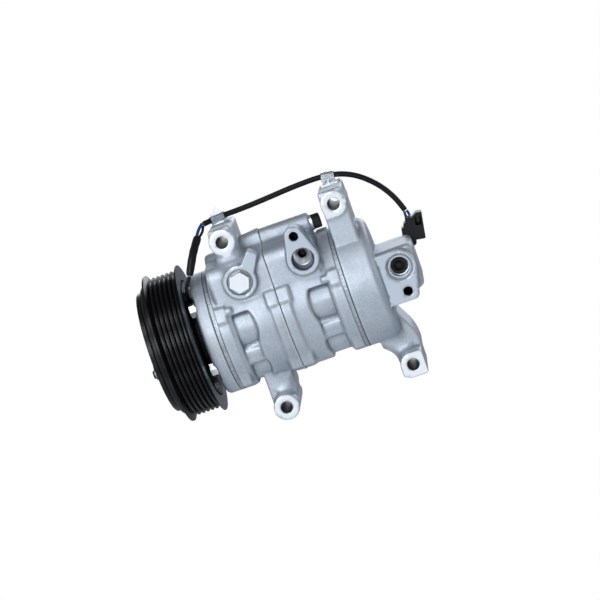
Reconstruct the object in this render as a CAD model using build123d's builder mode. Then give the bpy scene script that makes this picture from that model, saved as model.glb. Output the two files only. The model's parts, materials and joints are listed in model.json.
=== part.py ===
from build123d import *
from math import atan2, cos, degrees, pi, radians, sin, tan
import os

# Swash-plate compressor for vehicle air conditioning, with a belt-driven electromagnetic
# clutch. Millimetres. X runs along the shaft from the clutch to the rear head, Y along the
# engine mounting bores with the port side at -Y, and Z up. The origin is on the shaft axis,
# in the middle plane of the belt grooves.

os.makedirs("parts", exist_ok=True)

# ---------------------------------------------------------------- driving dimensions
# Stations along the shaft
HOUSING_FRONT = 19.0
HOUSING_BACK = 29.6
GASKET_T = 0.4
VALVE_PLATE_T = 2.2
REED_T = 0.4
BLOCK_FRONT = HOUSING_BACK + GASKET_T + VALVE_PLATE_T + REED_T
BLOCK_LENGTH = 47.7
MID = BLOCK_FRONT + BLOCK_LENGTH
BLOCK_BACK = MID + BLOCK_LENGTH
HEAD_FRONT = BLOCK_BACK + REED_T + VALVE_PLATE_T + GASKET_T
HEAD_BACK = 157.0

# Casing radii
BAND_R = 46.6
BODY_R = 45.8
CHAMBER_R = 41.5
CHAMBER_HALF = 17.0

# Five cylinders, five through bolts and five cast pads, all 72 degrees apart. Angles are
# taken from the port side (-Y) up towards +Z.
CYLINDERS = 5
BORE_PITCH_R = 27.5
BORE_R = 13.5
BORE_ANGLE = 3.5
BOLT_PITCH_R = 38.0
BOLT_ANGLE = 39.5
BOLT_R = 3.0
BOLT_HOLE_R = 3.3
PAD_ANGLE = 20.5
LOWER_PAD_ANGLE = -47.5
BARREL_R = 16.0
COLUMN_R = 6.6
COLUMN_WEB = 6.0

# Pistons and swash plate
TILT = 16.7
PLATE_R = 33.5
PLATE_T = 7.0
PISTON_R = 13.4
PISTON_LENGTH = 78.0
POCKET_LENGTH = 50.0
SHOE_R = 5.5
SHOE_FLAT = 22.2

# Shaft
SHAFT_R = 8.0
NEEDLE_BEARING_R = 12.0

# Pulley, six ribs on a 3.56 mm pitch
RIBS = 6
RIB_PITCH = 3.56
CREST_R = 54.0
ROOT_R = 51.0
FLANGE_R = 57.0
FLANGE_X = 12.6
PULLEY_FRONT = -17.5
PULLEY_BACK = 12.9

# Mounting lugs: bores along Y for M8 bolts
LUG_NEAR = -32.0
LUG_FAR = 28.0
LUG_BORE_R = 4.5
LUG_RING_R = 9.8
LUG_UPPER_Z = 65.3
LUG_LOWER_Z = -65.3
LUG_TOP = 76.0
LUG_UPPER_FRONT_X = 54.5
LUG_UPPER_REAR_X = 140.5
LUG_LOWER_FRONT_X = 58.5
LUG_LOWER_REAR_X = 156.7

# Port faces
PORT_FACE = -46.0
SUCTION_FACE = -40.0
PLUG_X, PLUG_Z = 58.5, 35.2
PLUG_SEAT = PORT_FACE + 3.0
DISCHARGE_X, DISCHARGE_Z = 107.2, 36.1
SUCTION_X, SUCTION_Z = 170.8, 7.0

CABLE_R = 2.1
SLEEVE_R = 3.1
LEAD_R = 1.5
WIRE_R = 0.85

# Cable clips: screw places on the two upper lugs
CLIP_SCREWS = ((53.6, 18.0), (140.5, 9.0))
SCREW_R = 1.9
SCREW_DEPTH = 4.2
BRACKET_SCREW_X, BRACKET_SCREW_Z = 168.0, 10.5
BLOCK_FAR = 20.0


# ---------------------------------------------------------------- helpers
def around(radius, start):
    """Five (y, z) points 72 degrees apart, the first at the angle start."""
    step = 360 / CYLINDERS
    angles = [radians(start + step * k) for k in range(CYLINDERS)]
    return [(-radius * cos(a), radius * sin(a)) for a in angles]


def turned(points, mode=Mode.ADD):
    """A solid of revolution about the shaft axis from (x, r) points."""
    with BuildSketch(Plane.XZ) as profile:
        with BuildLine():
            Polyline(*points, close=True)
        make_face()
    revolve(profile.sketch, axis=Axis.X, mode=mode)


def tube(x0, x1, r_in, r_out, mode=Mode.ADD):
    """A plain ring about the shaft axis."""
    turned([(x0, r_in), (x1, r_in), (x1, r_out), (x0, r_out)], mode)


def rods(points, radius, x0, x1, mode=Mode.ADD):
    """Round bars, or holes, along X at the given (y, z) points."""
    with BuildSketch(Plane.YZ.offset(x0)) as section:
        with Locations(*points):
            Circle(radius)
    extrude(section.sketch, amount=x1 - x0, mode=mode)


def cross_bore(x, z, radius, y0, y1, mode=Mode.SUBTRACT):
    """A round hole, or bar, along Y."""
    with BuildSketch(Plane.XZ.offset(-y0)) as section:
        with Locations((x, z)):
            Circle(radius)
    extrude(section.sketch, amount=-(y1 - y0), mode=mode)


def arc_slots(radius, width, half_angle, starts, x0, x1):
    """Curved slots cut along X, each centred on one of the angles in starts."""
    inner, outer = radius - width / 2, radius + width / 2
    with BuildSketch(Plane.YZ.offset(x0)) as slots:
        for start in starts:
            low, middle, high = (radians(start + turn) for turn in (-half_angle, 0, half_angle))
            with BuildLine():
                first = ThreePointArc(*[(inner * cos(a), inner * sin(a)) for a in (low, middle, high)])
                second = ThreePointArc(*[(outer * cos(a), outer * sin(a)) for a in (low, middle, high)])
                Line(first @ 0, second @ 0)
                Line(first @ 1, second @ 1)
            make_face()
    extrude(slots.sketch, amount=x1 - x0, mode=Mode.SUBTRACT)


def upright_rod(x, y, radius, z0, z1, mode=Mode.ADD):
    """A round bar, or hole, along Z."""
    with BuildSketch(Plane.XY.offset(z0)) as section:
        with Locations((x, y)):
            Circle(radius)
    extrude(section.sketch, amount=z1 - z0, mode=mode)


def outline_along_y(points, y0, y1, mode=Mode.ADD):
    """A prism along Y from an (x, z) outline."""
    with BuildSketch(Plane.XZ.offset(-y0)) as section:
        with BuildLine():
            Polyline(*points, close=True)
        make_face()
    extrude(section.sketch, amount=-(y1 - y0), mode=mode)


def tangent_arcs(points):
    """Radii for a cord's corners: 0.45 of the shorter run over the tangent of half the turn."""
    radii = []
    for a, b, c in zip(points, points[1:], points[2:]):
        first, second = Vector(b) - Vector(a), Vector(c) - Vector(b)
        half_turn = radians(first.get_angle(second)) / 2
        radii.append(0.45 * min(first.length, second.length) / tan(half_turn))
    return radii


def cord_path(points):
    """Straight runs joined by tangent arcs."""
    return FilletPolyline(*points, radius=tangent_arcs(points))


def end_plane(path, at):
    """The plane across a path at one of its ends."""
    return Plane(origin=path @ at, z_dir=path % at)


def report_cord(name, part, path, radius, points):
    """Print a cord's bend radii, and its volume beside its section times its length."""
    expected = pi * radius**2 * path.length
    radii = " ".join(f"{r:.0f}" for r in tangent_arcs(points))
    print(f"{name}: length {path.length:.1f}, radii {radii}, volume {part.volume:.0f} of {expected:.0f}")


# ---------------------------------------------------------------- casting features
# The recess round the barrels, cut into each block between its end flange and the middle
# band. It leaves the five barrels and the five bolt columns standing.
POCKET_TOP = 14.0
POCKET_SLOPE = 2.5
FRONT_POCKET = (42.5, 57.8)
REAR_POCKET = (102.0, 119.4)


def pocket_tool(x0, x1):
    with BuildPart() as tool:
        turned([(x0, 52), (x0 + POCKET_SLOPE, 37), (x1 - POCKET_SLOPE, 37), (x1, 52)])
        rods(around(BORE_PITCH_R, BORE_ANGLE), BARREL_R, x0, x1, Mode.SUBTRACT)
        rods(around(BOLT_PITCH_R, BOLT_ANGLE), COLUMN_R, x0, x1, Mode.SUBTRACT)
        rods(around(BOLT_PITCH_R, BOLT_ANGLE + COLUMN_WEB), COLUMN_R - 0.7, x0, x1, Mode.SUBTRACT)
        with BuildSketch(Plane.YZ.offset(x0)):
            with Locations((0, POCKET_TOP)):
                Rectangle(120, 60, align=(Align.CENTER, Align.MIN))
        extrude(amount=x1 - x0, mode=Mode.SUBTRACT)
    return tool.part


def pad_ring(x0, x1):
    """Five cast pads. The lower one on the port side slopes, as the mould draws that way."""
    square_crown = [(45.2, -8.6), (48, -4.4), (48, 5), (45.6, 7.6)]
    sloped_crown = [(46.2, -5.4), (48.4, 5.4), (45.0, 11.6)]
    rows = [(PAD_ANGLE + k * 360 / CYLINDERS, square_crown) for k in range(CYLINDERS - 1)]
    rows.append((LOWER_PAD_ANGLE, sloped_crown))
    with BuildPart() as tool:
        for degrees_up, crown in rows:
            angle = radians(degrees_up)
            outward = Vector(0, -cos(angle), sin(angle))
            section = Plane(origin=(x0, 0, 0), x_dir=outward, z_dir=(1, 0, 0))
            with BuildSketch(section):
                with BuildLine():
                    Polyline((40, crown[0][1]), *crown, (40, crown[-1][1]), close=True)
                make_face()
            extrude(amount=x1 - x0)
        edges_out = tool.edges().filter_by(Axis.X, reverse=True)
        chamfer([e for e in edges_out if Vector(0, e.center().Y, e.center().Z).length > 46.9], 0.6)
    return tool.part


# The raised casting over the blocks: a nearly upright front wall, a shoulder and, on top,
# the round muffler ridge that ends in the relief valve.
RIDGE_Y, RIDGE_Z, RIDGE_R = -4.0, 55.0, 8.4
RIDGE_BACK = 118.4
RIDGE_FLARE = 12.0
SHOULDER_FRONT = 35.0
SHOULDER_BACK = 118.0


def shoulder_tool(keep):
    """The half of the raised casting below (Keep.BOTTOM) or above (Keep.TOP) the middle seam."""
    with BuildPart() as tool:
        with BuildSketch(Plane.YZ.offset(SHOULDER_FRONT)):
            with BuildLine():
                low = Polyline((22, 30), (-36, 12), (-40.8, 20), (-40.5, 41))
                front = ThreePointArc(low @ 1, (-38.3, 47.2), (-32.5, 50.3))
                slope = Line(front @ 1, (-13, 53))
                top = ThreePointArc(slope @ 1, (RIDGE_Y, 57.5), (10, 52))
                Line(top @ 1, (22, 30))
            make_face()
        extrude(amount=SHOULDER_BACK - SHOULDER_FRONT)
        end_edges = tool.faces().filter_by(Axis.X).edges()
        fillet([e for e in end_edges if e.center().Z > 25], 3.5)
        split(bisect_by=Plane.YZ.offset(MID), keep=keep)
    return tool.part


def lug_tool(points, y0, y1, corner):
    """A lug body along Y with its long edges rounded."""
    with BuildPart() as tool:
        outline_along_y(points, y0, y1)
        fillet(tool.edges().filter_by(Axis.Y), corner)
        rim = tool.faces().sort_by(Axis.Y)[0].edges() + tool.faces().sort_by(Axis.Y)[-1].edges()
        fillet(rim, 1.2)
    return tool.part


def ring_boss(x, z, y1):
    """The round boss of a lug, machined flat on its near face."""
    with BuildPart() as tool:
        cross_bore(x, z, LUG_RING_R, LUG_NEAR, y1, Mode.ADD)
        chamfer(tool.edges().filter_by(GeomType.CIRCLE).sort_by(Axis.Y)[0], 0.4)
    return tool.part


def plug_pad_tool():
    """The oil plug's pad: a round boss with a bar running up to the right."""
    with BuildPart() as tool:
        with BuildSketch(Plane.XZ.offset(-PORT_FACE)):
            with Locations((PLUG_X, PLUG_Z)):
                Circle(12.4)
            with BuildLine():
                Polyline((60, 38), (64, 47.4), (71, 55.6), (77.1, 50.2), (70.6, 38.4), close=True)
            make_face()
        extrude(amount=-18)
        chamfer(tool.faces().sort_by(Axis.Y)[0].edges(), 0.5)
    return tool.part


def discharge_pad_tool():
    """The discharge port's pad: an egg shape, large end round the port."""
    with BuildPart() as tool:
        with BuildSketch(Plane.XZ.offset(-PORT_FACE)):
            with Locations((DISCHARGE_X, DISCHARGE_Z)):
                Circle(11.8)
            with Locations((DISCHARGE_X - 0.9, DISCHARGE_Z + 18)):
                Circle(6.8)
            make_hull()
        extrude(amount=-24)
        chamfer(tool.faces().sort_by(Axis.Y)[0].edges(), 0.5)
    return tool.part


def lower_pad_tool():
    """The rear lower lug's boss: round on its front side, square on its rear side."""
    left, right = LUG_LOWER_REAR_X - 9.6, LUG_LOWER_REAR_X + 9.2
    low, high = LUG_LOWER_Z - 9.6, LUG_LOWER_Z + 9.2
    round_point = (LUG_LOWER_REAR_X - 9.6 * cos(pi / 4), LUG_LOWER_Z + 9.2 * sin(pi / 4))
    with BuildPart() as tool:
        with BuildSketch(Plane.XZ.offset(-LUG_NEAR)):
            with BuildLine():
                edge = Polyline(
                    (LUG_LOWER_REAR_X, high),
                    (right, high),
                    (right, low),
                    (left + 5, low),
                    (left, low + 2.6),
                    (left, LUG_LOWER_Z),
                )
                ThreePointArc(edge @ 1, round_point, edge @ 0)
            make_face()
        extrude(amount=LUG_NEAR - LUG_FAR)
        fillet(tool.edges().filter_by(Axis.Y).group_by(Axis.X)[-1], 1.6)
        chamfer(tool.faces().sort_by(Axis.Y)[0].edges(), 0.4)
    return tool.part


def port_block_tool():
    """The block behind the head that carries the suction port."""
    with BuildPart() as tool:
        outline_along_y([(150, -13), (184.4, -13), (184.4, 21), (150, 21)], SUCTION_FACE + 5, BLOCK_FAR)
        fillet(tool.edges().filter_by(Axis.Y).group_by(Axis.X)[-1], 4.5)
        fillet(tool.faces().sort_by(Axis.Y)[0].edges().group_by(Axis.Z)[-1], 4.0)
    return tool.part


def suction_pad_tool():
    """The machined pad round the suction port and its fixing hole."""
    corners = [(150, 19.4), (150, -19), (176.2, -19), (178.4, -16.6), (183, 3), (176, 17), (170.8, 19.4)]
    with BuildPart() as tool:
        with BuildSketch(Plane.XZ.offset(-SUCTION_FACE)):
            with BuildLine():
                Polyline(*corners, close=True)
            make_face()
            with Locations((SUCTION_X, SUCTION_Z)):
                Circle(12.6)
        extrude(amount=-34)
        chamfer(tool.faces().sort_by(Axis.Y)[0].edges(), 0.5)
    return tool.part


# ---------------------------------------------------------------- front housing
NECK_R = 17.5
NECK_FRONT = -15.6
COIL_SEAT = 13.5
COIL_SEAT_R = 31.0
SPOTFACE_X = 20.5

with BuildPart() as front_housing:
    turned(
        [
            (NECK_FRONT, 0),
            (NECK_FRONT, NECK_R - 0.5),
            (NECK_FRONT + 0.5, NECK_R),
            (COIL_SEAT, NECK_R),
            (COIL_SEAT, COIL_SEAT_R),
            (HOUSING_FRONT, COIL_SEAT_R),
            (HOUSING_FRONT, BAND_R - 1.6),
            (HOUSING_FRONT + 1.6, BAND_R),
            (HOUSING_BACK, BAND_R),
            (HOUSING_BACK, 0),
        ]
    )
    # spot faces under the bolt heads, open to the outside
    for k in range(CYLINDERS):
        angle = radians(BOLT_ANGLE + k * 360 / CYLINDERS)
        outward = Vector(0, -cos(angle), sin(angle))
        seat = Plane(origin=(HOUSING_FRONT - 6, 0, 0), x_dir=outward, z_dir=(1, 0, 0))
        with BuildSketch(seat):
            with Locations((BOLT_PITCH_R + 6, 0)):
                SlotOverall(26, 14)
        extrude(amount=SPOTFACE_X - HOUSING_FRONT + 6, mode=Mode.SUBTRACT)
    rods(around(BOLT_PITCH_R, BOLT_ANGLE), BOLT_HOLE_R, HOUSING_FRONT, HOUSING_BACK, Mode.SUBTRACT)
    # stepped bore for the shaft seal and the shaft
    tube(NECK_FRONT, 12, 0, 13.5, Mode.SUBTRACT)
    tube(12, HOUSING_BACK, 0, 9, Mode.SUBTRACT)
    tube(0.4, 1.8, 13.5, 14.6, Mode.SUBTRACT)
    # snap ring grooves on the neck
    tube(-14.4, -13.1, 16.7, NECK_R, Mode.SUBTRACT)
    tube(11.0, 12.3, 16.7, NECK_R, Mode.SUBTRACT)
    # suction and discharge chambers
    tube(24.0, HOUSING_BACK, 11.0, 23.5, Mode.SUBTRACT)
    tube(23.6, HOUSING_BACK, 26.5, 33.2, Mode.SUBTRACT)
front_housing.part.label = "front_housing"
export_step(front_housing.part, "parts/front_housing.step")


# ---------------------------------------------------------------- valve plates, reeds, gaskets
PORT_PITCH_OUT = 30.0
PORT_PITCH_IN = 20.0


def end_gasket(x0):
    """A thin ring gasket open to both chambers, held together by five spokes."""
    tube(x0, x0 + GASKET_T, 9.0, BAND_R)
    with BuildSketch(Plane.YZ.offset(x0)) as openings:
        Circle(33.2)
        Circle(26.5, mode=Mode.SUBTRACT)
        Circle(23.5)
        Circle(11.0, mode=Mode.SUBTRACT)
        for k in range(CYLINDERS):
            turn = 180 - BORE_ANGLE - (k + 0.5) * 360 / CYLINDERS
            with Locations(Rotation(0, 0, turn)):
                Rectangle(35, 2.4, align=(Align.MIN, Align.CENTER), mode=Mode.SUBTRACT)
    extrude(openings.sketch, amount=GASKET_T, mode=Mode.SUBTRACT)
    rods(around(BOLT_PITCH_R, BOLT_ANGLE), BOLT_HOLE_R, x0, x0 + GASKET_T, Mode.SUBTRACT)


def valve_plate(x0):
    tube(x0, x0 + VALVE_PLATE_T, 9.0, BAND_R)
    rods(around(BOLT_PITCH_R, BOLT_ANGLE), BOLT_HOLE_R, x0, x0 + VALVE_PLATE_T, Mode.SUBTRACT)
    rods(around(PORT_PITCH_OUT, BORE_ANGLE), 2.6, x0, x0 + VALVE_PLATE_T, Mode.SUBTRACT)
    rods(around(PORT_PITCH_IN, BORE_ANGLE), 2.4, x0, x0 + VALVE_PLATE_T, Mode.SUBTRACT)


def reed_disc(x0):
    """A spring-steel disc with a tongue over each inlet port, cut free by a slot on each side."""
    tube(x0, x0 + REED_T, 9.0, BAND_R)
    rods(around(BOLT_PITCH_R, BOLT_ANGLE), BOLT_HOLE_R, x0, x0 + REED_T, Mode.SUBTRACT)
    rods(around(PORT_PITCH_OUT, BORE_ANGLE), 3.2, x0, x0 + REED_T, Mode.SUBTRACT)
    for k in range(CYLINDERS):
        angle = radians(BORE_ANGLE + k * 360 / CYLINDERS)
        outward = Vector(0, -cos(angle), sin(angle))
        with BuildSketch(Plane(origin=(x0, 0, 0), x_dir=outward, z_dir=(1, 0, 0))) as slots:
            with Locations((19.5, 4.0), (19.5, -4.0)):
                Rectangle(11, 0.8)
            with Locations((14.4, 0)):
                Rectangle(0.8, 8.8)
        extrude(slots.sketch, amount=REED_T, mode=Mode.SUBTRACT)


with BuildPart() as front_gasket:
    end_gasket(HOUSING_BACK)
front_gasket.part.label = "front_gasket"
export_step(front_gasket.part, "parts/front_gasket.step")

with BuildPart() as front_valve_plate:
    valve_plate(HOUSING_BACK + GASKET_T)
front_valve_plate.part.label = "front_valve_plate"
export_step(front_valve_plate.part, "parts/front_valve_plate.step")

with BuildPart() as front_reed_disc:
    reed_disc(BLOCK_FRONT - REED_T)
front_reed_disc.part.label = "front_reed_disc"
export_step(front_reed_disc.part, "parts/front_reed_disc.step")

with BuildPart() as rear_reed_disc:
    reed_disc(BLOCK_BACK)
rear_reed_disc.part.label = "rear_reed_disc"
export_step(rear_reed_disc.part, "parts/rear_reed_disc.step")

with BuildPart() as rear_valve_plate:
    valve_plate(BLOCK_BACK + REED_T)
rear_valve_plate.part.label = "rear_valve_plate"
export_step(rear_valve_plate.part, "parts/rear_valve_plate.step")

with BuildPart() as rear_gasket:
    end_gasket(HEAD_FRONT - GASKET_T)
rear_gasket.part.label = "rear_gasket"
export_step(rear_gasket.part, "parts/rear_gasket.step")

# ---------------------------------------------------------------- cylinder blocks
FLANGE_W = 8.4
BAND_HALF = 7.6
BEARING_DEPTH = 15.0
WEB_BOSS_R = 17.0
SEAL_IN, SEAL_OUT, SEAL_T = 42.6, 44.4, 1.8
NUB_R = 2.6


def block_bores(end, towards_mid):
    """Cylinder bores, swash chamber, bearing bore and bolt holes of a block."""
    x0, x1 = sorted((end, MID))
    rods(around(BORE_PITCH_R, BORE_ANGLE), BORE_R, x0, x1, Mode.SUBTRACT)
    rods(around(BOLT_PITCH_R, BOLT_ANGLE), BOLT_HOLE_R, x0, x1, Mode.SUBTRACT)
    chamber_end = MID - towards_mid * CHAMBER_HALF
    boss_end = MID - towards_mid * (CHAMBER_HALF - 4.0)
    turned(
        [
            (MID, 0),
            (boss_end, 0),
            (boss_end, WEB_BOSS_R),
            (chamber_end, WEB_BOSS_R),
            (chamber_end, CHAMBER_R),
            (MID, CHAMBER_R),
        ],
        Mode.SUBTRACT,
    )
    tube(x0, x1, 0, 9.5, Mode.SUBTRACT)
    bearing_end = boss_end - towards_mid * BEARING_DEPTH
    tube(*sorted((boss_end, bearing_end)), 0, NEEDLE_BEARING_R, Mode.SUBTRACT)


with BuildPart() as front_cylinder_block:
    tube(BLOCK_FRONT, MID, 0, BODY_R)
    tube(BLOCK_FRONT, BLOCK_FRONT + FLANGE_W, 0, BAND_R)
    tube(MID - BAND_HALF, MID, 0, BAND_R + 0.2)
    add(pocket_tool(*FRONT_POCKET), mode=Mode.SUBTRACT)
    add(pad_ring(BLOCK_FRONT, BLOCK_FRONT + FLANGE_W))
    add(pad_ring(MID - 8.9, MID))
    # raised casting, with the muffler ridge starting behind the upper lug
    add(shoulder_tool(Keep.BOTTOM))
    rods([(RIDGE_Y, RIDGE_Z)], RIDGE_R, LUG_UPPER_FRONT_X, MID)
    with Locations(Location((MID - RIDGE_FLARE / 2, RIDGE_Y, RIDGE_Z), (0, 90, 0))):
        Cone(RIDGE_R, RIDGE_R + 1.2, RIDGE_FLARE)
    tube(MID - 1.6, MID, BAND_R - 6, BAND_R + 0.8)
    # upper mounting lug
    left, right = LUG_UPPER_FRONT_X - 8.4, LUG_UPPER_FRONT_X + 9.8
    upper = [(left, 44), (left, LUG_TOP), (right, LUG_TOP), (right, 44)]
    add(lug_tool(upper, LUG_NEAR + 1, LUG_FAR, 2.5))
    add(ring_boss(LUG_UPPER_FRONT_X, LUG_UPPER_Z, LUG_FAR - 4))
    # lower mounting lug: an arm set back from its boss
    left, right = LUG_LOWER_FRONT_X - 9.6, LUG_LOWER_FRONT_X + 9.6
    lower = [(left, -30), (right + 1, -30), (right + 1, -56)]
    lower += [(right - 1.6, LUG_LOWER_Z), (left, LUG_LOWER_Z)]
    add(lug_tool(lower, -20, LUG_FAR, 1.8))
    add(ring_boss(LUG_LOWER_FRONT_X, LUG_LOWER_Z, LUG_FAR))
    # small round nub beside the upper pad
    rods([(-42.9, 17.6)], NUB_R, BLOCK_FRONT + FLANGE_W, BLOCK_FRONT + FLANGE_W + 4.6)
    # oil plug pad: a round boss with a bar running up to the right
    add(plug_pad_tool())
    cross_bore(PLUG_X, PLUG_Z, 9.4, PORT_FACE, PLUG_SEAT)
    cross_bore(PLUG_X, PLUG_Z, 5.5, PORT_FACE, PORT_FACE + 16)
    cross_bore(LUG_UPPER_FRONT_X, LUG_UPPER_Z, LUG_BORE_R, LUG_NEAR, LUG_FAR)
    cross_bore(LUG_LOWER_FRONT_X, LUG_LOWER_Z, LUG_BORE_R, LUG_NEAR, LUG_FAR)
    upright_rod(*CLIP_SCREWS[0], SCREW_R, LUG_TOP - SCREW_DEPTH, LUG_TOP, Mode.SUBTRACT)
    block_bores(BLOCK_FRONT, 1)
front_cylinder_block.part.label = "front_cylinder_block"
export_step(front_cylinder_block.part, "parts/front_cylinder_block.step")

MUFFLER_R = 5.0
RELIEF_R = 4.2

with BuildPart() as rear_cylinder_block:
    tube(MID, BLOCK_BACK, 0, BODY_R)
    tube(BLOCK_BACK - FLANGE_W, BLOCK_BACK, 0, BAND_R)
    tube(MID, MID + BAND_HALF, 0, BAND_R + 0.2)
    add(pocket_tool(*REAR_POCKET), mode=Mode.SUBTRACT)
    add(pad_ring(BLOCK_BACK - FLANGE_W, BLOCK_BACK))
    add(pad_ring(MID, MID + 9.6))
    add(shoulder_tool(Keep.TOP))
    rods([(RIDGE_Y, RIDGE_Z)], RIDGE_R, MID, RIDGE_BACK)
    rods([(-42.6, 16.8)], NUB_R, BLOCK_BACK - FLANGE_W - 5, BLOCK_BACK - FLANGE_W)
    # discharge port pad: an egg shape, large end round the port
    add(discharge_pad_tool())
    cross_bore(DISCHARGE_X, DISCHARGE_Z, 8.3, PORT_FACE, PORT_FACE + 7)
    with BuildSketch(Plane.XZ.offset(-PORT_FACE - 7)):
        with Locations((DISCHARGE_X, DISCHARGE_Z + 1.5)):
            Circle(6.4)
    with BuildSketch(Plane.XZ.offset(-PORT_FACE - 13)):
        with Locations((DISCHARGE_X, DISCHARGE_Z + 2.9)):
            Circle(2.9)
    loft(mode=Mode.SUBTRACT)
    cross_bore(DISCHARGE_X, DISCHARGE_Z + 2.9, 2.9, PORT_FACE + 12, PORT_FACE + 20)
    cross_bore(DISCHARGE_X - 0.9, DISCHARGE_Z + 17.7, 3.4, PORT_FACE, PORT_FACE + 14)
    # muffler bore in the ridge, opened by the relief valve's seat
    rods([(RIDGE_Y, RIDGE_Z)], MUFFLER_R, MID + 10, RIDGE_BACK - 9, Mode.SUBTRACT)
    rods([(RIDGE_Y, RIDGE_Z)], RELIEF_R, RIDGE_BACK - 9, RIDGE_BACK, Mode.SUBTRACT)
    block_bores(BLOCK_BACK, -1)
    tube(MID, MID + SEAL_T, SEAL_IN, SEAL_OUT, Mode.SUBTRACT)
rear_cylinder_block.part.label = "rear_cylinder_block"
export_step(rear_cylinder_block.part, "parts/rear_cylinder_block.step")

with BuildPart() as block_seal:
    tube(MID, MID + SEAL_T, SEAL_IN, SEAL_OUT)
block_seal.part.label = "block_seal"
export_step(block_seal.part, "parts/block_seal.step")

# ---------------------------------------------------------------- rear head
BOLT_END = 146.0

with BuildPart() as rear_head:
    with BuildSketch(Plane.XZ):
        with BuildLine():
            side = Polyline((HEAD_FRONT, 0), (HEAD_FRONT, BAND_R), (151.2, BAND_R))
            shoulder = ThreePointArc(side @ 1, (154.6, 44.6), (156.2, 40.6))
            Polyline(shoulder @ 1, (HEAD_BACK, 24), (HEAD_BACK, 0), (HEAD_FRONT, 0))
        make_face()
    revolve(axis=Axis.X)
    # upper mounting lug, standing on the flat that runs down the band
    left, right = LUG_UPPER_REAR_X - 9.2, LUG_UPPER_REAR_X + 9.2
    upper = [(left, 20), (left, LUG_TOP), (right, LUG_TOP), (right, 20)]
    add(lug_tool(upper, LUG_NEAR + 0.8, LUG_FAR, 1.6))
    add(ring_boss(LUG_UPPER_REAR_X, LUG_UPPER_Z, LUG_FAR - 4))
    outline_along_y(
        [
            (left, LUG_UPPER_Z),
            (left, LUG_UPPER_Z - LUG_RING_R),
            (LUG_UPPER_REAR_X, LUG_UPPER_Z - LUG_RING_R),
            (LUG_UPPER_REAR_X, LUG_UPPER_Z),
        ],
        LUG_NEAR,
        LUG_NEAR + 6,
    )
    # lower mounting lug: a web swept back from the band to a square-cornered boss
    arm = [
        (138.4, -38),
        (138.4, -51.4),
        (143.8, -55),
        (146.4, -60),
        (147.0, LUG_LOWER_Z),
        (165.6, LUG_LOWER_Z),
        (167.2, -56),
        (166.6, -48),
        (164.6, -41),
        (156.6, -26),
        (150, -20),
    ]
    add(lug_tool(arm, -15, LUG_FAR, 1.5))
    for rib_z in (-50.5, -54.5):
        outline_along_y(
            [(146.5, rib_z), (146.5, rib_z - 1.2), (162.5, rib_z - 6.2), (162.5, rib_z - 5)], -16.2, -10
        )
    add(lower_pad_tool())
    # port block behind the head
    add(port_block_tool())
    add(suction_pad_tool())
    # suction port, its passage to the middle chamber, and the fixing hole
    cross_bore(SUCTION_X, SUCTION_Z, 9.7, SUCTION_FACE, SUCTION_FACE + 3)
    cross_bore(SUCTION_X, SUCTION_Z, 8.6, SUCTION_FACE, SUCTION_FACE + 30)
    rods([(-14, SUCTION_Z)], 6.0, HEAD_FRONT, SUCTION_X, Mode.SUBTRACT)
    cross_bore(SUCTION_X + 0.3, SUCTION_Z - 18.7, 3.4, SUCTION_FACE, SUCTION_FACE + 15)
    # chambers, bolt threads and mounting bores
    tube(HEAD_FRONT, 146.0, 11.0, 23.5, Mode.SUBTRACT)
    tube(HEAD_FRONT, 146.0, 26.5, 33.2, Mode.SUBTRACT)
    rods(around(BOLT_PITCH_R, BOLT_ANGLE), BOLT_R, HEAD_FRONT, BOLT_END + 2, Mode.SUBTRACT)
    cross_bore(LUG_UPPER_REAR_X, LUG_UPPER_Z, LUG_BORE_R, LUG_NEAR, LUG_FAR)
    cross_bore(LUG_LOWER_REAR_X, LUG_LOWER_Z, LUG_BORE_R, LUG_NEAR, LUG_FAR)
    upright_rod(*CLIP_SCREWS[1], SCREW_R, LUG_TOP - SCREW_DEPTH, LUG_TOP, Mode.SUBTRACT)
    cross_bore(BRACKET_SCREW_X, BRACKET_SCREW_Z, SCREW_R, BLOCK_FAR - 8, BLOCK_FAR)
rear_head.part.label = "rear_head"
export_step(rear_head.part, "parts/rear_head.step")

# ---------------------------------------------------------------- bolts, plug, valves
HEX_HEAD_FRONT = 15.3
WASHER_T = 1.0

with BuildPart() as through_bolts:
    for y, z in around(BOLT_PITCH_R, BOLT_ANGLE):
        with BuildSketch(Plane.YZ.offset(HEX_HEAD_FRONT)):
            with Locations((y, z)):
                RegularPolygon(4.5, 6, major_radius=False)
        extrude(amount=SPOTFACE_X - WASHER_T - HEX_HEAD_FRONT)
    rods(around(BOLT_PITCH_R, BOLT_ANGLE), BOLT_R, SPOTFACE_X - WASHER_T - 0.5, BOLT_END)
through_bolts.part.label = "through_bolts"
export_step(through_bolts.part, "parts/through_bolts.step")

with BuildPart() as bolt_washers:
    rods(around(BOLT_PITCH_R, BOLT_ANGLE), 5.6, SPOTFACE_X - WASHER_T, SPOTFACE_X)
    rods(around(BOLT_PITCH_R, BOLT_ANGLE), BOLT_R, SPOTFACE_X - WASHER_T, SPOTFACE_X, Mode.SUBTRACT)
bolt_washers.part.label = "bolt_washers"
export_step(bolt_washers.part, "parts/bolt_washers.step")


with BuildPart() as oil_plug_washer:
    cross_bore(PLUG_X, PLUG_Z, 9.0, PLUG_SEAT - 1.2, PLUG_SEAT, Mode.ADD)
    cross_bore(PLUG_X, PLUG_Z, 5.5, PLUG_SEAT - 1.2, PLUG_SEAT)
oil_plug_washer.part.label = "oil_plug_washer"
export_step(oil_plug_washer.part, "parts/oil_plug_washer.step")

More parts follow.
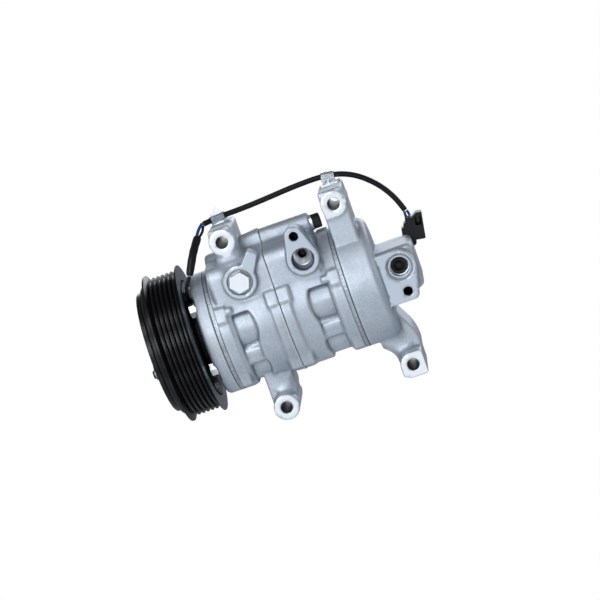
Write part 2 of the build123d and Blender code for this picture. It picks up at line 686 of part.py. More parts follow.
with BuildPart() as oil_plug:
    with BuildSketch(Plane.XZ.offset(-(PLUG_SEAT - 1.2))):
        with Locations((PLUG_X, PLUG_Z)):
            RegularPolygon(7.1, 6, major_radius=False, rotation=12)
    extrude(amount=5.0)
    chamfer(oil_plug.faces().sort_by(Axis.Y)[0].edges(), 0.5)
    cross_bore(PLUG_X, PLUG_Z, 5.5, PLUG_SEAT - 1.2, PORT_FACE + 13, Mode.ADD)
oil_plug.part.label = "oil_plug"
export_step(oil_plug.part, "parts/oil_plug.step")

with BuildPart() as relief_valve:
    rods([(RIDGE_Y, RIDGE_Z)], 6.0, RIDGE_BACK, RIDGE_BACK + 1.8)
    rods([(RIDGE_Y, RIDGE_Z)], RELIEF_R, RIDGE_BACK - 8, RIDGE_BACK + 1.8)
relief_valve.part.label = "relief_valve"
export_step(relief_valve.part, "parts/relief_valve.step")

with BuildPart() as relief_valve_cap:
    with BuildSketch(Plane.YZ.offset(RIDGE_BACK + 1.8)):
        with Locations((RIDGE_Y, RIDGE_Z)):
            RegularPolygon(4.8, 6, major_radius=False, rotation=30)
    extrude(amount=6.0)
    chamfer(relief_valve_cap.faces().sort_by(Axis.X)[-1].edges(), 0.7)
relief_valve_cap.part.label = "relief_valve_cap"
export_step(relief_valve_cap.part, "parts/relief_valve_cap.step")

with BuildPart() as suction_sleeve:
    cross_bore(SUCTION_X, SUCTION_Z, 8.6, SUCTION_FACE + 3, SUCTION_FACE + 14, Mode.ADD)
    cross_bore(SUCTION_X, SUCTION_Z, 7.0, SUCTION_FACE + 3, SUCTION_FACE + 11)
    cross_bore(SUCTION_X, SUCTION_Z, 6.5, SUCTION_FACE + 11, SUCTION_FACE + 14)
    chamfer(suction_sleeve.edges().filter_by(GeomType.CIRCLE).group_by(Axis.Y)[0], 0.6)
suction_sleeve.part.label = "suction_sleeve"
export_step(suction_sleeve.part, "parts/suction_sleeve.step")

with BuildPart() as suction_check_valve:
    cross_bore(SUCTION_X, SUCTION_Z, 6.5, SUCTION_FACE + 11, SUCTION_FACE + 14, Mode.ADD)
    cross_bore(SUCTION_X, SUCTION_Z, 6.2, SUCTION_FACE + 14, SUCTION_FACE + 22, Mode.ADD)
    cross_bore(SUCTION_X, SUCTION_Z, 4.2, SUCTION_FACE + 11, SUCTION_FACE + 18)
    cross_bore(SUCTION_X, SUCTION_Z, 1.6, SUCTION_FACE + 13, SUCTION_FACE + 18, Mode.ADD)
suction_check_valve.part.label = "suction_check_valve"
export_step(suction_check_valve.part, "parts/suction_check_valve.step")

# ---------------------------------------------------------------- shaft, swash plate, bearings
SHAFT_FRONT = -19.5
SHAFT_BACK = 124.0
HUB_R = 13.0
HUB_HALF = 9.0
NEEDLES = 20

with BuildPart() as shaft:
    turned(
        [
            (SHAFT_FRONT, 0),
            (SHAFT_FRONT, 5.6),
            (SHAFT_FRONT + 0.4, 6),
            (-4, 6),
            (-4, 7),
            (14, 7),
            (14, SHAFT_R),
            (SHAFT_BACK - 1, SHAFT_R),
            (SHAFT_BACK, SHAFT_R - 1),
            (SHAFT_BACK, 0),
        ]
    )
    tube(SHAFT_FRONT, -7, 0, 3, Mode.SUBTRACT)
shaft.part.label = "shaft"
export_step(shaft.part, "parts/shaft.step")

plate_plane = Plane(origin=(MID, 0, 0), x_dir=(0, 1, 0), z_dir=(cos(radians(TILT)), 0, sin(radians(TILT))))

with BuildPart() as swash_plate:
    with BuildSketch(plate_plane.offset(-PLATE_T / 2)):
        Circle(PLATE_R)
    extrude(amount=PLATE_T)
    tube(MID - HUB_HALF, MID + HUB_HALF, 0, HUB_R)
    tube(MID - HUB_HALF - 10, MID + HUB_HALF + 10, 0, SHAFT_R, Mode.SUBTRACT)
swash_plate.part.label = "swash_plate"
export_step(swash_plate.part, "parts/swash_plate.step")


def thrust_bearing(x0, x1):
    """Two washers with a caged row of needles between them."""
    t = (x1 - x0) / 3
    tube(x0, x0 + t, 8.4, 15.5)
    tube(x1 - t, x1, 8.4, 15.5)
    tube(x0 + t, x1 - t, 9.5, 14.5)


THRUST_GAP = 0.3
BOSS_FACE = CHAMBER_HALF - 4.0

with BuildPart() as front_thrust_bearing:
    thrust_bearing(MID - BOSS_FACE, MID - HUB_HALF - THRUST_GAP)
front_thrust_bearing.part.label = "front_thrust_bearing"
export_step(front_thrust_bearing.part, "parts/front_thrust_bearing.step")

with BuildPart() as rear_thrust_bearing:
    thrust_bearing(MID + HUB_HALF + THRUST_GAP, MID + BOSS_FACE)
rear_thrust_bearing.part.label = "rear_thrust_bearing"
export_step(rear_thrust_bearing.part, "parts/rear_thrust_bearing.step")


def needle_bearing(x0):
    """A drawn cup with a full row of needles."""
    tube(x0, x0 + 12, 10.6, NEEDLE_BEARING_R)
    step = 2 * pi / NEEDLES
    centres = [(9.45 * cos(step * k), 9.45 * sin(step * k)) for k in range(NEEDLES)]
    rods(centres, 1.1, x0 + 0.5, x0 + 11.5)


with BuildPart() as front_needle_bearing:
    needle_bearing(MID - BOSS_FACE - 14)
front_needle_bearing.part.label = "front_needle_bearing"
export_step(front_needle_bearing.part, "parts/front_needle_bearing.step")

with BuildPart() as rear_needle_bearing:
    needle_bearing(MID + BOSS_FACE + 2)
rear_needle_bearing.part.label = "rear_needle_bearing"
export_step(rear_needle_bearing.part, "parts/rear_needle_bearing.step")

with BuildPart() as shaft_seal:
    turned(
        [(2, 13.5), (9.5, 13.5), (9.5, 12), (4, 12), (4, 10), (8, 8.6), (8, 7.3), (6.6, 7.3), (2, 9.4)]
    )
shaft_seal.part.label = "shaft_seal"
export_step(shaft_seal.part, "parts/shaft_seal.step")


def snap_ring(x0, x1, r_in, r_out, gap):
    """A flat ring with a gap at the bottom."""
    tube(x0, x1, r_in, r_out)
    with BuildSketch(Plane.YZ.offset(x0)) as opening:
        with Locations((0, -(r_in + r_out) / 2)):
            Rectangle(gap, 2 * (r_out - r_in))
    extrude(opening.sketch, amount=x1 - x0, mode=Mode.SUBTRACT)


with BuildPart() as seal_snap_ring:
    snap_ring(0.5, 1.7, 11.6, 14.5, 6)
seal_snap_ring.part.label = "seal_snap_ring"
export_step(seal_snap_ring.part, "parts/seal_snap_ring.step")

# ---------------------------------------------------------------- pistons and shoes
for k in range(CYLINDERS):
    angle = radians(BORE_ANGLE + k * 360 / CYLINDERS)
    outward = Vector(0, -cos(angle), sin(angle))
    centre = outward * BORE_PITCH_R
    # the tilted plate carries this piston to here when the shaft stands at rest
    station = MID - tan(radians(TILT)) * centre.Z
    base = Plane(origin=(station, centre.Y, centre.Z), x_dir=outward, z_dir=(1, 0, 0))

    with BuildPart() as piston:
        with BuildSketch(base.offset(-PISTON_LENGTH / 2)):
            Circle(PISTON_R)
        extrude(amount=PISTON_LENGTH)
        chamfer(piston.edges().filter_by(GeomType.CIRCLE), 0.5)
        # the saddle over the plate leaves the outer side as a bridge
        with BuildSketch(base.offset(-POCKET_LENGTH / 2)):
            with Locations((7.2, 0)):
                Rectangle(30, 30, align=(Align.MAX, Align.CENTER))
        extrude(amount=POCKET_LENGTH, mode=Mode.SUBTRACT)
        for side in (-1, 1):
            # piston ring groove
            with BuildSketch(base.offset(side * (PISTON_LENGTH / 2 - 4) - 0.7)):
                Circle(PISTON_R)
                Circle(PISTON_R - 1, mode=Mode.SUBTRACT)
            extrude(amount=1.4, mode=Mode.SUBTRACT)
            # shoe socket
            with Locations((station + side * (POCKET_LENGTH / 2 - 0.5), centre.Y, centre.Z)):
                Sphere(SHOE_R + 0.05, rotation=(0, 90, 0), mode=Mode.SUBTRACT)
    piston.part.label = f"piston_{k + 1}"
    export_step(piston.part, f"parts/piston_{k + 1}.step")

    with BuildPart() as shoes:
        for side in (-1, 1):
            with Locations((station + side * (POCKET_LENGTH / 2 - 0.5), centre.Y, centre.Z)):
                Sphere(SHOE_R, rotation=(0, 90, 0))
        with BuildSketch(base.offset(-SHOE_FLAT)):
            Rectangle(40, 40)
        extrude(amount=2 * SHOE_FLAT, mode=Mode.SUBTRACT)
    shoes.part.label = f"piston_shoes_{k + 1}"
    export_step(shoes.part, f"parts/piston_shoes_{k + 1}.step")

# ---------------------------------------------------------------- pulley and its bearing
BEARING_FRONT, BEARING_BACK = -13.0, 7.0
BEARING_BORE_R, BEARING_OUTER_R = NECK_R, 27.5
BALL_R = 2.1
BALL_PITCH_R = 22.5
BALL_ROWS = (-8.0, 2.0)
BALLS = 16
ROTOR_WALL = 5.0
COIL_SPACE_IN, COIL_SPACE_OUT = 30.5, 45.4

groove_half_angle = radians(20)
groove_top = 0.55 + (CREST_R - ROOT_R) * tan(groove_half_angle)
first_groove = -(RIBS - 1) / 2 * RIB_PITCH

rim = [(PULLEY_FRONT, COIL_SPACE_IN - 3), (PULLEY_FRONT, 49.2), (PULLEY_FRONT + 1.2, 50.4), (-15.2, 50.4)]
rim += [(-13.4, FLANGE_R), (-FLANGE_X + 0.5, FLANGE_R)]
for k in range(RIBS):
    x = first_groove + k * RIB_PITCH
    rim += [(x - groove_top, CREST_R), (x - 0.55, ROOT_R), (x + 0.55, ROOT_R), (x + groove_top, CREST_R)]
rim += [(FLANGE_X - 0.5, FLANGE_R), (PULLEY_BACK, FLANGE_R), (PULLEY_BACK, COIL_SPACE_OUT)]
rim += [(PULLEY_FRONT + ROTOR_WALL, COIL_SPACE_OUT), (PULLEY_FRONT + ROTOR_WALL, COIL_SPACE_IN)]
rim += [(BEARING_BACK + 1.5, COIL_SPACE_IN), (BEARING_BACK + 1.5, BEARING_OUTER_R), (-14.2, BEARING_OUTER_R)]
rim += [(-14.2, 25.6), (-16.2, 25.6), (-16.2, 27.5)]

with BuildPart() as pulley:
    turned(rim)
    # flux slots through the friction face
    arc_slots(34.0, 1.8, 25, (0, 120, 240), PULLEY_FRONT, PULLEY_FRONT + ROTOR_WALL)
    arc_slots(40.5, 1.8, 25, (0, 120, 240), PULLEY_FRONT, PULLEY_FRONT + ROTOR_WALL)
pulley.part.label = "pulley"
export_step(pulley.part, "parts/pulley.step")


def race(r_in, r_out):
    """A bearing ring with a groove for each row of balls."""
    tube(BEARING_FRONT, BEARING_BACK, r_in, r_out)
    for x in BALL_ROWS:
        with BuildSketch(Plane.XZ) as groove:
            with Locations((x, BALL_PITCH_R)):
                Circle(BALL_R + 0.25)
        revolve(groove.sketch, axis=Axis.X, mode=Mode.SUBTRACT)


with BuildPart() as pulley_bearing_outer:
    race(24.2, BEARING_OUTER_R)
pulley_bearing_outer.part.label = "pulley_bearing_outer"
export_step(pulley_bearing_outer.part, "parts/pulley_bearing_outer.step")

with BuildPart() as pulley_bearing_inner:
    race(BEARING_BORE_R, 20.8)
pulley_bearing_inner.part.label = "pulley_bearing_inner"
export_step(pulley_bearing_inner.part, "parts/pulley_bearing_inner.step")

with BuildPart() as pulley_bearing_balls:
    for x in BALL_ROWS:
        for k in range(BALLS):
            a = 2 * pi * k / BALLS
            with Locations((x, BALL_PITCH_R * cos(a), BALL_PITCH_R * sin(a))):
                Sphere(BALL_R)
pulley_bearing_balls.part.label = "pulley_bearing_balls"
export_step(pulley_bearing_balls.part, "parts/pulley_bearing_balls.step")

with BuildPart() as pulley_snap_ring:
    snap_ring(-14.3, BEARING_FRONT - 0.1, 16.8, 20.4, 7)
pulley_snap_ring.part.label = "pulley_snap_ring"
export_step(pulley_snap_ring.part, "parts/pulley_snap_ring.step")

# ---------------------------------------------------------------- field coil
COIL_FRONT, COIL_BACK = -9.0, 12.3
COIL_IN, COIL_OUT = 31.7, 44.2
SHELL_T = 1.5
LEAD_ANGLE = 57.5

with BuildPart() as coil_housing:
    turned(
        [
            (COIL_FRONT, COIL_IN),
            (COIL_BACK, COIL_IN),
            (COIL_BACK, NECK_R),
            (COIL_SEAT, NECK_R),
            (COIL_SEAT, COIL_OUT),
            (COIL_FRONT, COIL_OUT),
            (COIL_FRONT, COIL_OUT - SHELL_T),
            (COIL_BACK - SHELL_T, COIL_OUT - SHELL_T),
            (COIL_BACK - SHELL_T, COIL_IN + SHELL_T),
            (COIL_FRONT, COIL_IN + SHELL_T),
        ]
    )
    # block on the coil's back where the lead comes out
    exit_angle = radians(LEAD_ANGLE)
    exit_out = Vector(0, -cos(exit_angle), sin(exit_angle))
    with BuildSketch(Plane(origin=(COIL_SEAT, 0, 0), x_dir=exit_out, z_dir=(1, 0, 0))):
        with Locations((33.6, 0)):
            RectangleRounded(5.2, 7, 1)
    extrude(amount=4.8)
coil_housing.part.label = "coil_housing"
export_step(coil_housing.part, "parts/coil_housing.step")

with BuildPart() as coil_winding:
    tube(-7.0, 9.4, 34.4, 41.5)
coil_winding.part.label = "coil_winding"
export_step(coil_winding.part, "parts/coil_winding.step")

with BuildPart() as coil_potting:
    tube(COIL_FRONT + 0.5, COIL_BACK - SHELL_T, COIL_IN + SHELL_T, COIL_OUT - SHELL_T)
    tube(-7.0, 9.4, 34.4, 41.5, Mode.SUBTRACT)
coil_potting.part.label = "coil_potting"
export_step(coil_potting.part, "parts/coil_potting.step")

with BuildPart() as coil_snap_ring:
    snap_ring(11.1, COIL_BACK, 16.8, 21.0, 7)
coil_snap_ring.part.label = "coil_snap_ring"
export_step(coil_snap_ring.part, "parts/coil_snap_ring.step")

# ---------------------------------------------------------------- clutch hub and armature
ARMATURE_BACK = -18.0
ARMATURE_FRONT = -22.0
ARMATURE_R = 46.5
HUB_FLANGE_FRONT = -22.5
SPRING_BACK, SPRING_FRONT = -23.0, -23.6
HUB_RIVET_R, PLATE_RIVET_R = 17.5, 38.0
RIVET_ANGLES = (20, 140, 260)
RIVET_LEAD = 55


RIVET_R = 2.0


def yz(radius, turn):
    """The (y, z) point at a radius and an angle in degrees from +Y."""
    return (radius * cos(radians(turn)), radius * sin(radians(turn)))


HUB_RIVETS = [yz(HUB_RIVET_R, a) for a in RIVET_ANGLES]
PLATE_RIVETS = [yz(PLATE_RIVET_R, a + RIVET_LEAD) for a in RIVET_ANGLES]

with BuildPart() as armature_plate:
    tube(ARMATURE_FRONT, ARMATURE_BACK, 24.0, ARMATURE_R)
    chamfer(armature_plate.edges().filter_by(GeomType.CIRCLE).sort_by(SortBy.RADIUS)[-2:], 0.8)
    arc_slots(37.2, 1.8, 42, [a + RIVET_LEAD + 60 for a in RIVET_ANGLES], ARMATURE_FRONT, ARMATURE_BACK)
    rods(PLATE_RIVETS, RIVET_R, ARMATURE_FRONT, ARMATURE_BACK, Mode.SUBTRACT)
armature_plate.part.label = "armature_plate"
export_step(armature_plate.part, "parts/armature_plate.step")

with BuildPart() as clutch_hub:
    turned(
        [
            (HUB_FLANGE_FRONT, 3.3),
            (HUB_FLANGE_FRONT, 22.5),
            (-19.8, 22.5),
            (-19.8, 9.3),
            (-5.5, 9.3),
            (-5.5, 6),
            (SHAFT_FRONT, 6),
            (SHAFT_FRONT, 3.3),
        ]
    )
    rods(HUB_RIVETS, RIVET_R, HUB_FLANGE_FRONT, -19.8, Mode.SUBTRACT)
clutch_hub.part.label = "clutch_hub"
export_step(clutch_hub.part, "parts/clutch_hub.step")

with BuildPart() as hub_bolt:
    with BuildSketch(Plane.YZ.offset(-27.0)):
        RegularPolygon(5, 6, major_radius=False)
    extrude(amount=3.6)
    tube(-23.4, HUB_FLANGE_FRONT, 0, 7.5)
    tube(HUB_FLANGE_FRONT, -8, 0, 3)
hub_bolt.part.label = "hub_bolt"
export_step(hub_bolt.part, "parts/hub_bolt.step")

with BuildPart() as leaf_springs:
    for hub_end, plate_end in zip(HUB_RIVETS, PLATE_RIVETS):
        inner, outer = Vector(*hub_end), Vector(*plate_end)
        middle, reach = (inner + outer) / 2, outer - inner
        turn = degrees(atan2(reach.Y, reach.X))
        with BuildSketch(Plane.YZ.offset(SPRING_FRONT)):
            with Locations(Location((middle.X, middle.Y, 0), (0, 0, turn))):
                SlotCenterToCenter(reach.length, 8.5)
            with Locations(hub_end, plate_end):
                Circle(RIVET_R, mode=Mode.SUBTRACT)
        extrude(amount=SPRING_BACK - SPRING_FRONT)
    # small spacers lift the springs off the plate
    rods(PLATE_RIVETS, 3.4, SPRING_BACK, ARMATURE_FRONT)
    rods(PLATE_RIVETS, RIVET_R, SPRING_BACK, ARMATURE_FRONT, Mode.SUBTRACT)
leaf_springs.part.label = "leaf_springs"
export_step(leaf_springs.part, "parts/leaf_springs.step")

with BuildPart() as clutch_rivets:
    rods(PLATE_RIVETS, RIVET_R, SPRING_FRONT, ARMATURE_BACK - 0.2)
    rods(HUB_RIVETS, RIVET_R, SPRING_FRONT, -20.4)
    with BuildSketch(Plane.YZ.offset(SPRING_FRONT)):
        with Locations(*PLATE_RIVETS, *HUB_RIVETS):
            Circle(3.4)
    extrude(amount=-1.5, taper=20)
clutch_rivets.part.label = "clutch_rivets"
export_step(clutch_rivets.part, "parts/clutch_rivets.step")

# ---------------------------------------------------------------- coil lead
# The lead leaves the coil behind the pulley, climbs in a sleeve past the front housing, and
# runs as a round cable through two metal clips on the upper lugs down to the connector.
LEAD_ROUTE = [
    (16.0, -19.6, 30.8),
    (16.1, -23.0, 35.9),
    (17.5, -25.6, 40.6),
    (20.4, -26.9, 45.0),
    (23.1, -27.0, 49.1),
]
SLEEVE_ROUTE = [
    (23.3, -27.0, 49.6),
    (26.3, -25.7, 55.2),
    (29.2, -22.2, 61.0),
    (32.4, -16.2, 66.7),
    (36.0, -8.5, 71.9),
]
UPPER_WIRE_ROUTE = [(35.5, -8.3, 72.6), (37.5, -4.9, 75.9), (39.6, -1.9, 78.4), (41.9, 0.4, 80.1)]
LOWER_WIRE_ROUTE = [(36.9, -8.1, 71.7), (39.5, -5.2, 73.5), (41.3, -2.4, 75.6), (42.0, 0.2, 78.0)]
CABLE_ROUTE = [
    (43.1, 1.6, 79.5),
    (47.6, 4.6, 79.8),
    (58.1, 8.2, 80.3),
    (73.9, 11.2, 80.2),
    (91.7, 14.0, 81.0),
    (110.6, 17.0, 82.2),
    (127.6, 19.4, 82.6),
    (137.5, 20.4, 82.1),
    (146.0, 21.2, 80.7),
    (153.5, 21.9, 78.3),
    (161.5, 22.6, 74.0),
    (169.0, 23.4, 67.7),
    (175.4, 24.3, 60.6),
    (180.4, 25.0, 52.9),
    (184.2, 25.6, 44.8),
    (186.5, 26.0, 37.5),
]
LEFT_TAIL = [(185.8, 25.9, 36.8), (185.4, 25.8, 34.6), (185.6, 25.7, 32.0)]
RIGHT_TAIL = [(187.7, 26.3, 36.9), (188.3, 26.4, 35.0), (188.5, 26.4, 32.4)]


def cord(name, route, radius):
    """A round cord swept along a route."""
    with BuildPart() as body:
        with BuildLine() as line:
            cord_path(route)
        with BuildSketch(end_plane(line.wire(), 0)):
            Circle(radius)
        sweep(path=line.wire())
    report_cord(name, body.part, line.wire(), radius, route)
    return body.part


harness_lead = cord("harness_lead", LEAD_ROUTE, LEAD_R)
harness_lead.label = "harness_lead"
export_step(harness_lead, "parts/harness_lead.step")

harness_sleeve = cord("harness_sleeve", SLEEVE_ROUTE, SLEEVE_R)
harness_sleeve.label = "harness_sleeve"
export_step(harness_sleeve, "parts/harness_sleeve.step")

harness_cable = cord("harness_cable", CABLE_ROUTE, CABLE_R)
harness_cable.label = "harness_cable"
export_step(harness_cable, "parts/harness_cable.step")

# Two bare wires show between the sleeve and the cable, and again at the connector.
with BuildPart() as harness_wires:
    for route in (UPPER_WIRE_ROUTE, LOWER_WIRE_ROUTE, LEFT_TAIL, RIGHT_TAIL):
        add(cord("harness_wires", route, WIRE_R))
harness_wires.part.label = "harness_wires"
export_step(harness_wires.part, "parts/harness_wires.step")

# ---------------------------------------------------------------- cable clips
CLIP_T = 0.6
CLIP_SLACK = 0.15
FOOT_T = 1.2


def clip_loop(start, finish, drop):
    """A sheet-metal loop round the cable between two points, with a stem reaching down by drop."""
    run = Vector(finish) - Vector(start)
    with BuildSketch(Plane(origin=start, x_dir=(-run.Y, run.X, 0), z_dir=run)) as loop:
        Circle(CABLE_R + CLIP_SLACK + CLIP_T)
        with Locations((0, -drop)):
            Rectangle(2.6, drop - CABLE_R, align=(Align.CENTER, Align.MIN))
    extrude(loop.sketch, amount=run.length)


def clip_foot(x0, x1, y0, y1, screw):
    """The foot of a clip, flat on the lug, with its screw hole."""
    with BuildSketch(Plane.XY.offset(LUG_TOP)) as foot:
        with Locations(((x0 + x1) / 2, (y0 + y1) / 2)):
            RectangleRounded(x1 - x0, y1 - y0, 1.2)
        with Locations(screw):
            Circle(SCREW_R + 0.1, mode=Mode.SUBTRACT)
    extrude(foot.sketch, amount=FOOT_T)


def cable_channel():
    """The room the cable takes through the clips."""
    with BuildPart() as tool:
        with BuildLine() as line:
            cord_path(CABLE_ROUTE[:-6])
        with BuildSketch(end_plane(line.wire(), 0)):
            Circle(CABLE_R + CLIP_SLACK)
        sweep(path=line.wire())
    return tool.part


with BuildPart() as cable_clip_front:
    clip_foot(48.4, 58.4, 5, 22, CLIP_SCREWS[0])
    clip_loop((48.4, 4.9, 79.8), (58.0, 8.1, 80.2), 3.4)
    # pointed tab that stands up behind the cable
    left_side = [(47.6, 77), (47.6, 81.8), (51.2, 85.2), (52.4, 87.6)]
    right_side = [(55.2, 87.6), (56.4, 84.4), (61.0, 81.8), (61.0, 77)]
    outline_along_y(left_side + right_side, 11.4, 12.2)
    cross_bore(53.8, 85.4, 1.1, 11.4, 12.2)
    add(cable_channel(), mode=Mode.SUBTRACT)
cable_clip_front.part.label = "cable_clip_front"
export_step(cable_clip_front.part, "parts/cable_clip_front.step")

with BuildPart() as cable_clip_rear:
    clip_foot(133.4, 148.4, 4, 22, CLIP_SCREWS[1])
    clip_loop((135.4, 20.2, 82.25), (145.0, 21.1, 80.95), 4.9)
    # low round tab behind the cable
    dome = [(135.6, 77), (135.6, 83.4), (138, 84.6), (141, 85.0), (143.6, 84.4), (145, 83.2), (145, 77)]
    outline_along_y(dome, 24.2, 25.0)
    outline_along_y([(135.6, 76), (145, 76), (145, 77.2), (135.6, 77.2)], 21, 25)
    add(cable_channel(), mode=Mode.SUBTRACT)
cable_clip_rear.part.label = "cable_clip_rear"
export_step(cable_clip_rear.part, "parts/cable_clip_rear.step")

BRACKET_T = 1.3
SCREW_HEAD_R = 3.2
SCREW_HEAD_T = 2.2

with BuildPart() as clip_screws:
    for x, y in CLIP_SCREWS:
        upright_rod(x, y, SCREW_R, LUG_TOP - SCREW_DEPTH + 0.4, LUG_TOP + FOOT_T)
        upright_rod(x, y, SCREW_HEAD_R, LUG_TOP + FOOT_T, LUG_TOP + FOOT_T + SCREW_HEAD_T)
    seat = BLOCK_FAR + BRACKET_T
    cross_bore(BRACKET_SCREW_X, BRACKET_SCREW_Z, SCREW_R, seat - 8, seat, Mode.ADD)
    cross_bore(BRACKET_SCREW_X, BRACKET_SCREW_Z, SCREW_HEAD_R, seat, seat + SCREW_HEAD_T, Mode.ADD)
clip_screws.part.label = "clip_screws"
export_step(clip_screws.part, "parts/clip_screws.step")

# ---------------------------------------------------------------- connector on its bracket
CONNECTOR_LEAN = 9.6
CONNECTOR_NEAR, CONNECTOR_FAR = 21.6, 34.8
lean = radians(CONNECTOR_LEAN)
across = (cos(lean), 0, -sin(lean))
connector_face = Plane(origin=(186.0, CONNECTOR_NEAR, 22.5), x_dir=across, z_dir=(0, -1, 0))
connector_depth = CONNECTOR_FAR - CONNECTOR_NEAR

with BuildPart() as connector:
    with BuildSketch(connector_face):
        with BuildLine():
            side = [(3.0, 9), (-3, 10), (-3.4, 6), (-5, 5), (-5.2, 2.4), (-7, 1.8)]
            foot = [(-7, -3.4), (-4, -11.2), (-2.6, -12.3), (1, -12.3), (2.6, -11), (3.0, -8)]
            Polyline(*foot, *side, close=True)
        make_face()
    extrude(amount=-connector_depth)
    with BuildSketch(connector_face.offset(0.8)) as shroud:
        with BuildLine():
            Polyline((2.2, -8.1), (10, -8.1), (10, 12.3), (5.6, 12.3), (2.2, 9.4), close=True)
        make_face()
        fillet(shroud.vertices(), 1.2)
    extrude(amount=-connector_depth - 0.8)
    # socket for the mating plug, open below, the latch window in its front wall, and the wire entry
    with BuildSketch(connector_face.offset(-1.6)):
        with Locations((6.4, -0.4)):
            Rectangle(5.6, 17.6)
    extrude(amount=3.2 - connector_depth, mode=Mode.SUBTRACT)
    with BuildSketch(connector_face.offset(0.8)):
        with Locations((6.4, 6.0)):
            Rectangle(4.9, 6.9)
        with Locations((6.4, 7.2)):
            Rectangle(2.4, 4.6, mode=Mode.SUBTRACT)
    extrude(amount=-3, mode=Mode.SUBTRACT)
    with BuildSketch(connector_face.offset(-2.4)):
        with Locations((-0.4, 9)):
            Rectangle(5.6, 3)
    extrude(amount=-4.4, mode=Mode.SUBTRACT)
connector.part.label = "connector"
export_step(connector.part, "parts/connector.step")

with BuildPart() as connector_bracket:
    bend_x = 176.0
    end_face = [(161, 5), (bend_x, 5), (bend_x, 16), (161, 16)]
    outline_along_y(end_face, BLOCK_FAR, BLOCK_FAR + BRACKET_T)
    wall = [(bend_x - BRACKET_T, 5), (bend_x, 5), (bend_x, 16), (bend_x - BRACKET_T, 16)]
    outline_along_y(wall, BLOCK_FAR, CONNECTOR_FAR + BRACKET_T)
    carrier = [(bend_x - BRACKET_T, 5), (182, 5), (183, 15), (190, 16), (190, 21), (183, 21)]
    carrier += [(bend_x - BRACKET_T, 16)]
    outline_along_y(carrier, CONNECTOR_FAR, CONNECTOR_FAR + BRACKET_T)
    cross_bore(BRACKET_SCREW_X, BRACKET_SCREW_Z, SCREW_R + 0.1, BLOCK_FAR, BLOCK_FAR + BRACKET_T)
connector_bracket.part.label = "connector_bracket"
export_step(connector_bracket.part, "parts/connector_bracket.step")
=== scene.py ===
import json
import math

import bpy
import numpy as np
from mathutils import Matrix, Vector


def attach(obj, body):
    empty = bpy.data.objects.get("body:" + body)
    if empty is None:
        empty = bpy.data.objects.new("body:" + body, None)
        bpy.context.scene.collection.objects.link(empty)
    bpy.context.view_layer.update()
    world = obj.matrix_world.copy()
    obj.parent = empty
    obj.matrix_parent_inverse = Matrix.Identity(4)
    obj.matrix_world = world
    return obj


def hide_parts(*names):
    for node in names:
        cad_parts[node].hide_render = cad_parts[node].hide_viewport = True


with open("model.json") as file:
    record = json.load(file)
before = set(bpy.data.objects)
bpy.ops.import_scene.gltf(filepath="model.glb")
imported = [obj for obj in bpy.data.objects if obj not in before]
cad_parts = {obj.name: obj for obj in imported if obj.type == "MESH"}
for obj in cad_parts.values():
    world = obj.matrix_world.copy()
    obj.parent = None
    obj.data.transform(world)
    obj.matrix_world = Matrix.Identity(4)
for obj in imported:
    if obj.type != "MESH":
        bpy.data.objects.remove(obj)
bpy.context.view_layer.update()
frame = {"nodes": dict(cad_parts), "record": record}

# Looks for the swash-plate compressor. The row frame is in metres: X along the shaft, the port
# side at -Y, Z up, and the origin on the shaft axis in the middle of the belt grooves.
NODES = frame["nodes"]
MM = 0.001


def mm(*values):
    return Vector(values) * MM


LUGS = [(54.5, 65.3), (140.5, 65.3), (58.5, -65.3), (156.7, -65.3)]
LUG_BORE_R = 4.5
LUG_NEAR, LUG_FAR = -32.0, 28.0
LUG_PAD = 11.0
# machined faces square to Y: the plane, then the window of X and Z that it lies in
PORT_PADS = [
    (-46.0, (43, 80, 20, 59)),
    (-46.0, (93, 121, 21, 64)),
    (-40.0, (154, 188, -28, 23)),
]
LUG_PADS = []
for lug_x, lug_z in LUGS:
    for lug_face in (LUG_NEAR, LUG_FAR):
        window = (lug_x - LUG_PAD, lug_x + LUG_PAD, lug_z - LUG_PAD, lug_z + LUG_PAD)
        LUG_PADS.append((lug_face, window))

# how far past a bore's radius its surface is looked for, and how far in from its ends it is painted
# dark as shade
BORE_MARGIN, BORE_LIP = 0.3, 0.4
# holes painted dark inside as shade: X, Z, radius, and the Y of the mouth and of the far end
LUG_BORES = [
    (lug_x, lug_z, LUG_BORE_R + BORE_MARGIN, LUG_NEAR + BORE_LIP, LUG_FAR - BORE_LIP)
    for lug_x, lug_z in LUGS
]
HOLES = [
    (107.2, 39.0, 3.1, -34.5, -22),
    (106.3, 53.8, 3.7, -42.5, -22),
    (171.1, -11.7, 3.7, -37.0, -22),
]
# the discharge port's counterbore and the mouth of the cone in it, in the same form
COUNTERBORE = (107.2, 36.1, 8.25, -45.6, -22)
CONE_MOUTH = (107.2, 37.6, 6.6, -60, -22)
# the ripple in the holes, which are tapped
THREAD_PITCH = 1.25
# the housing's nose is painted black up to here as the shadow behind the pulley, and the painted
# shadow fades to bare metal over the next few millimetres
NOSE_BACK, NOSE_FADE = 18.7, 6.0
# the planes across the shaft where the front housing, the front valve plate, the two blocks, the
# rear valve plate and the rear head meet, and half the width of the dark line along each plate
HOUSING_BACK, BLOCK_FRONT, MIDDLE, BLOCK_BACK, HEAD_FRONT = 29.6, 32.6, 80.3, 128.0, 131.0
PLATE_FACES = [HOUSING_BACK, BLOCK_FRONT, BLOCK_BACK, HEAD_FRONT]
JOINT_LINE = 0.4
SHARP_ANGLE = math.radians(50)


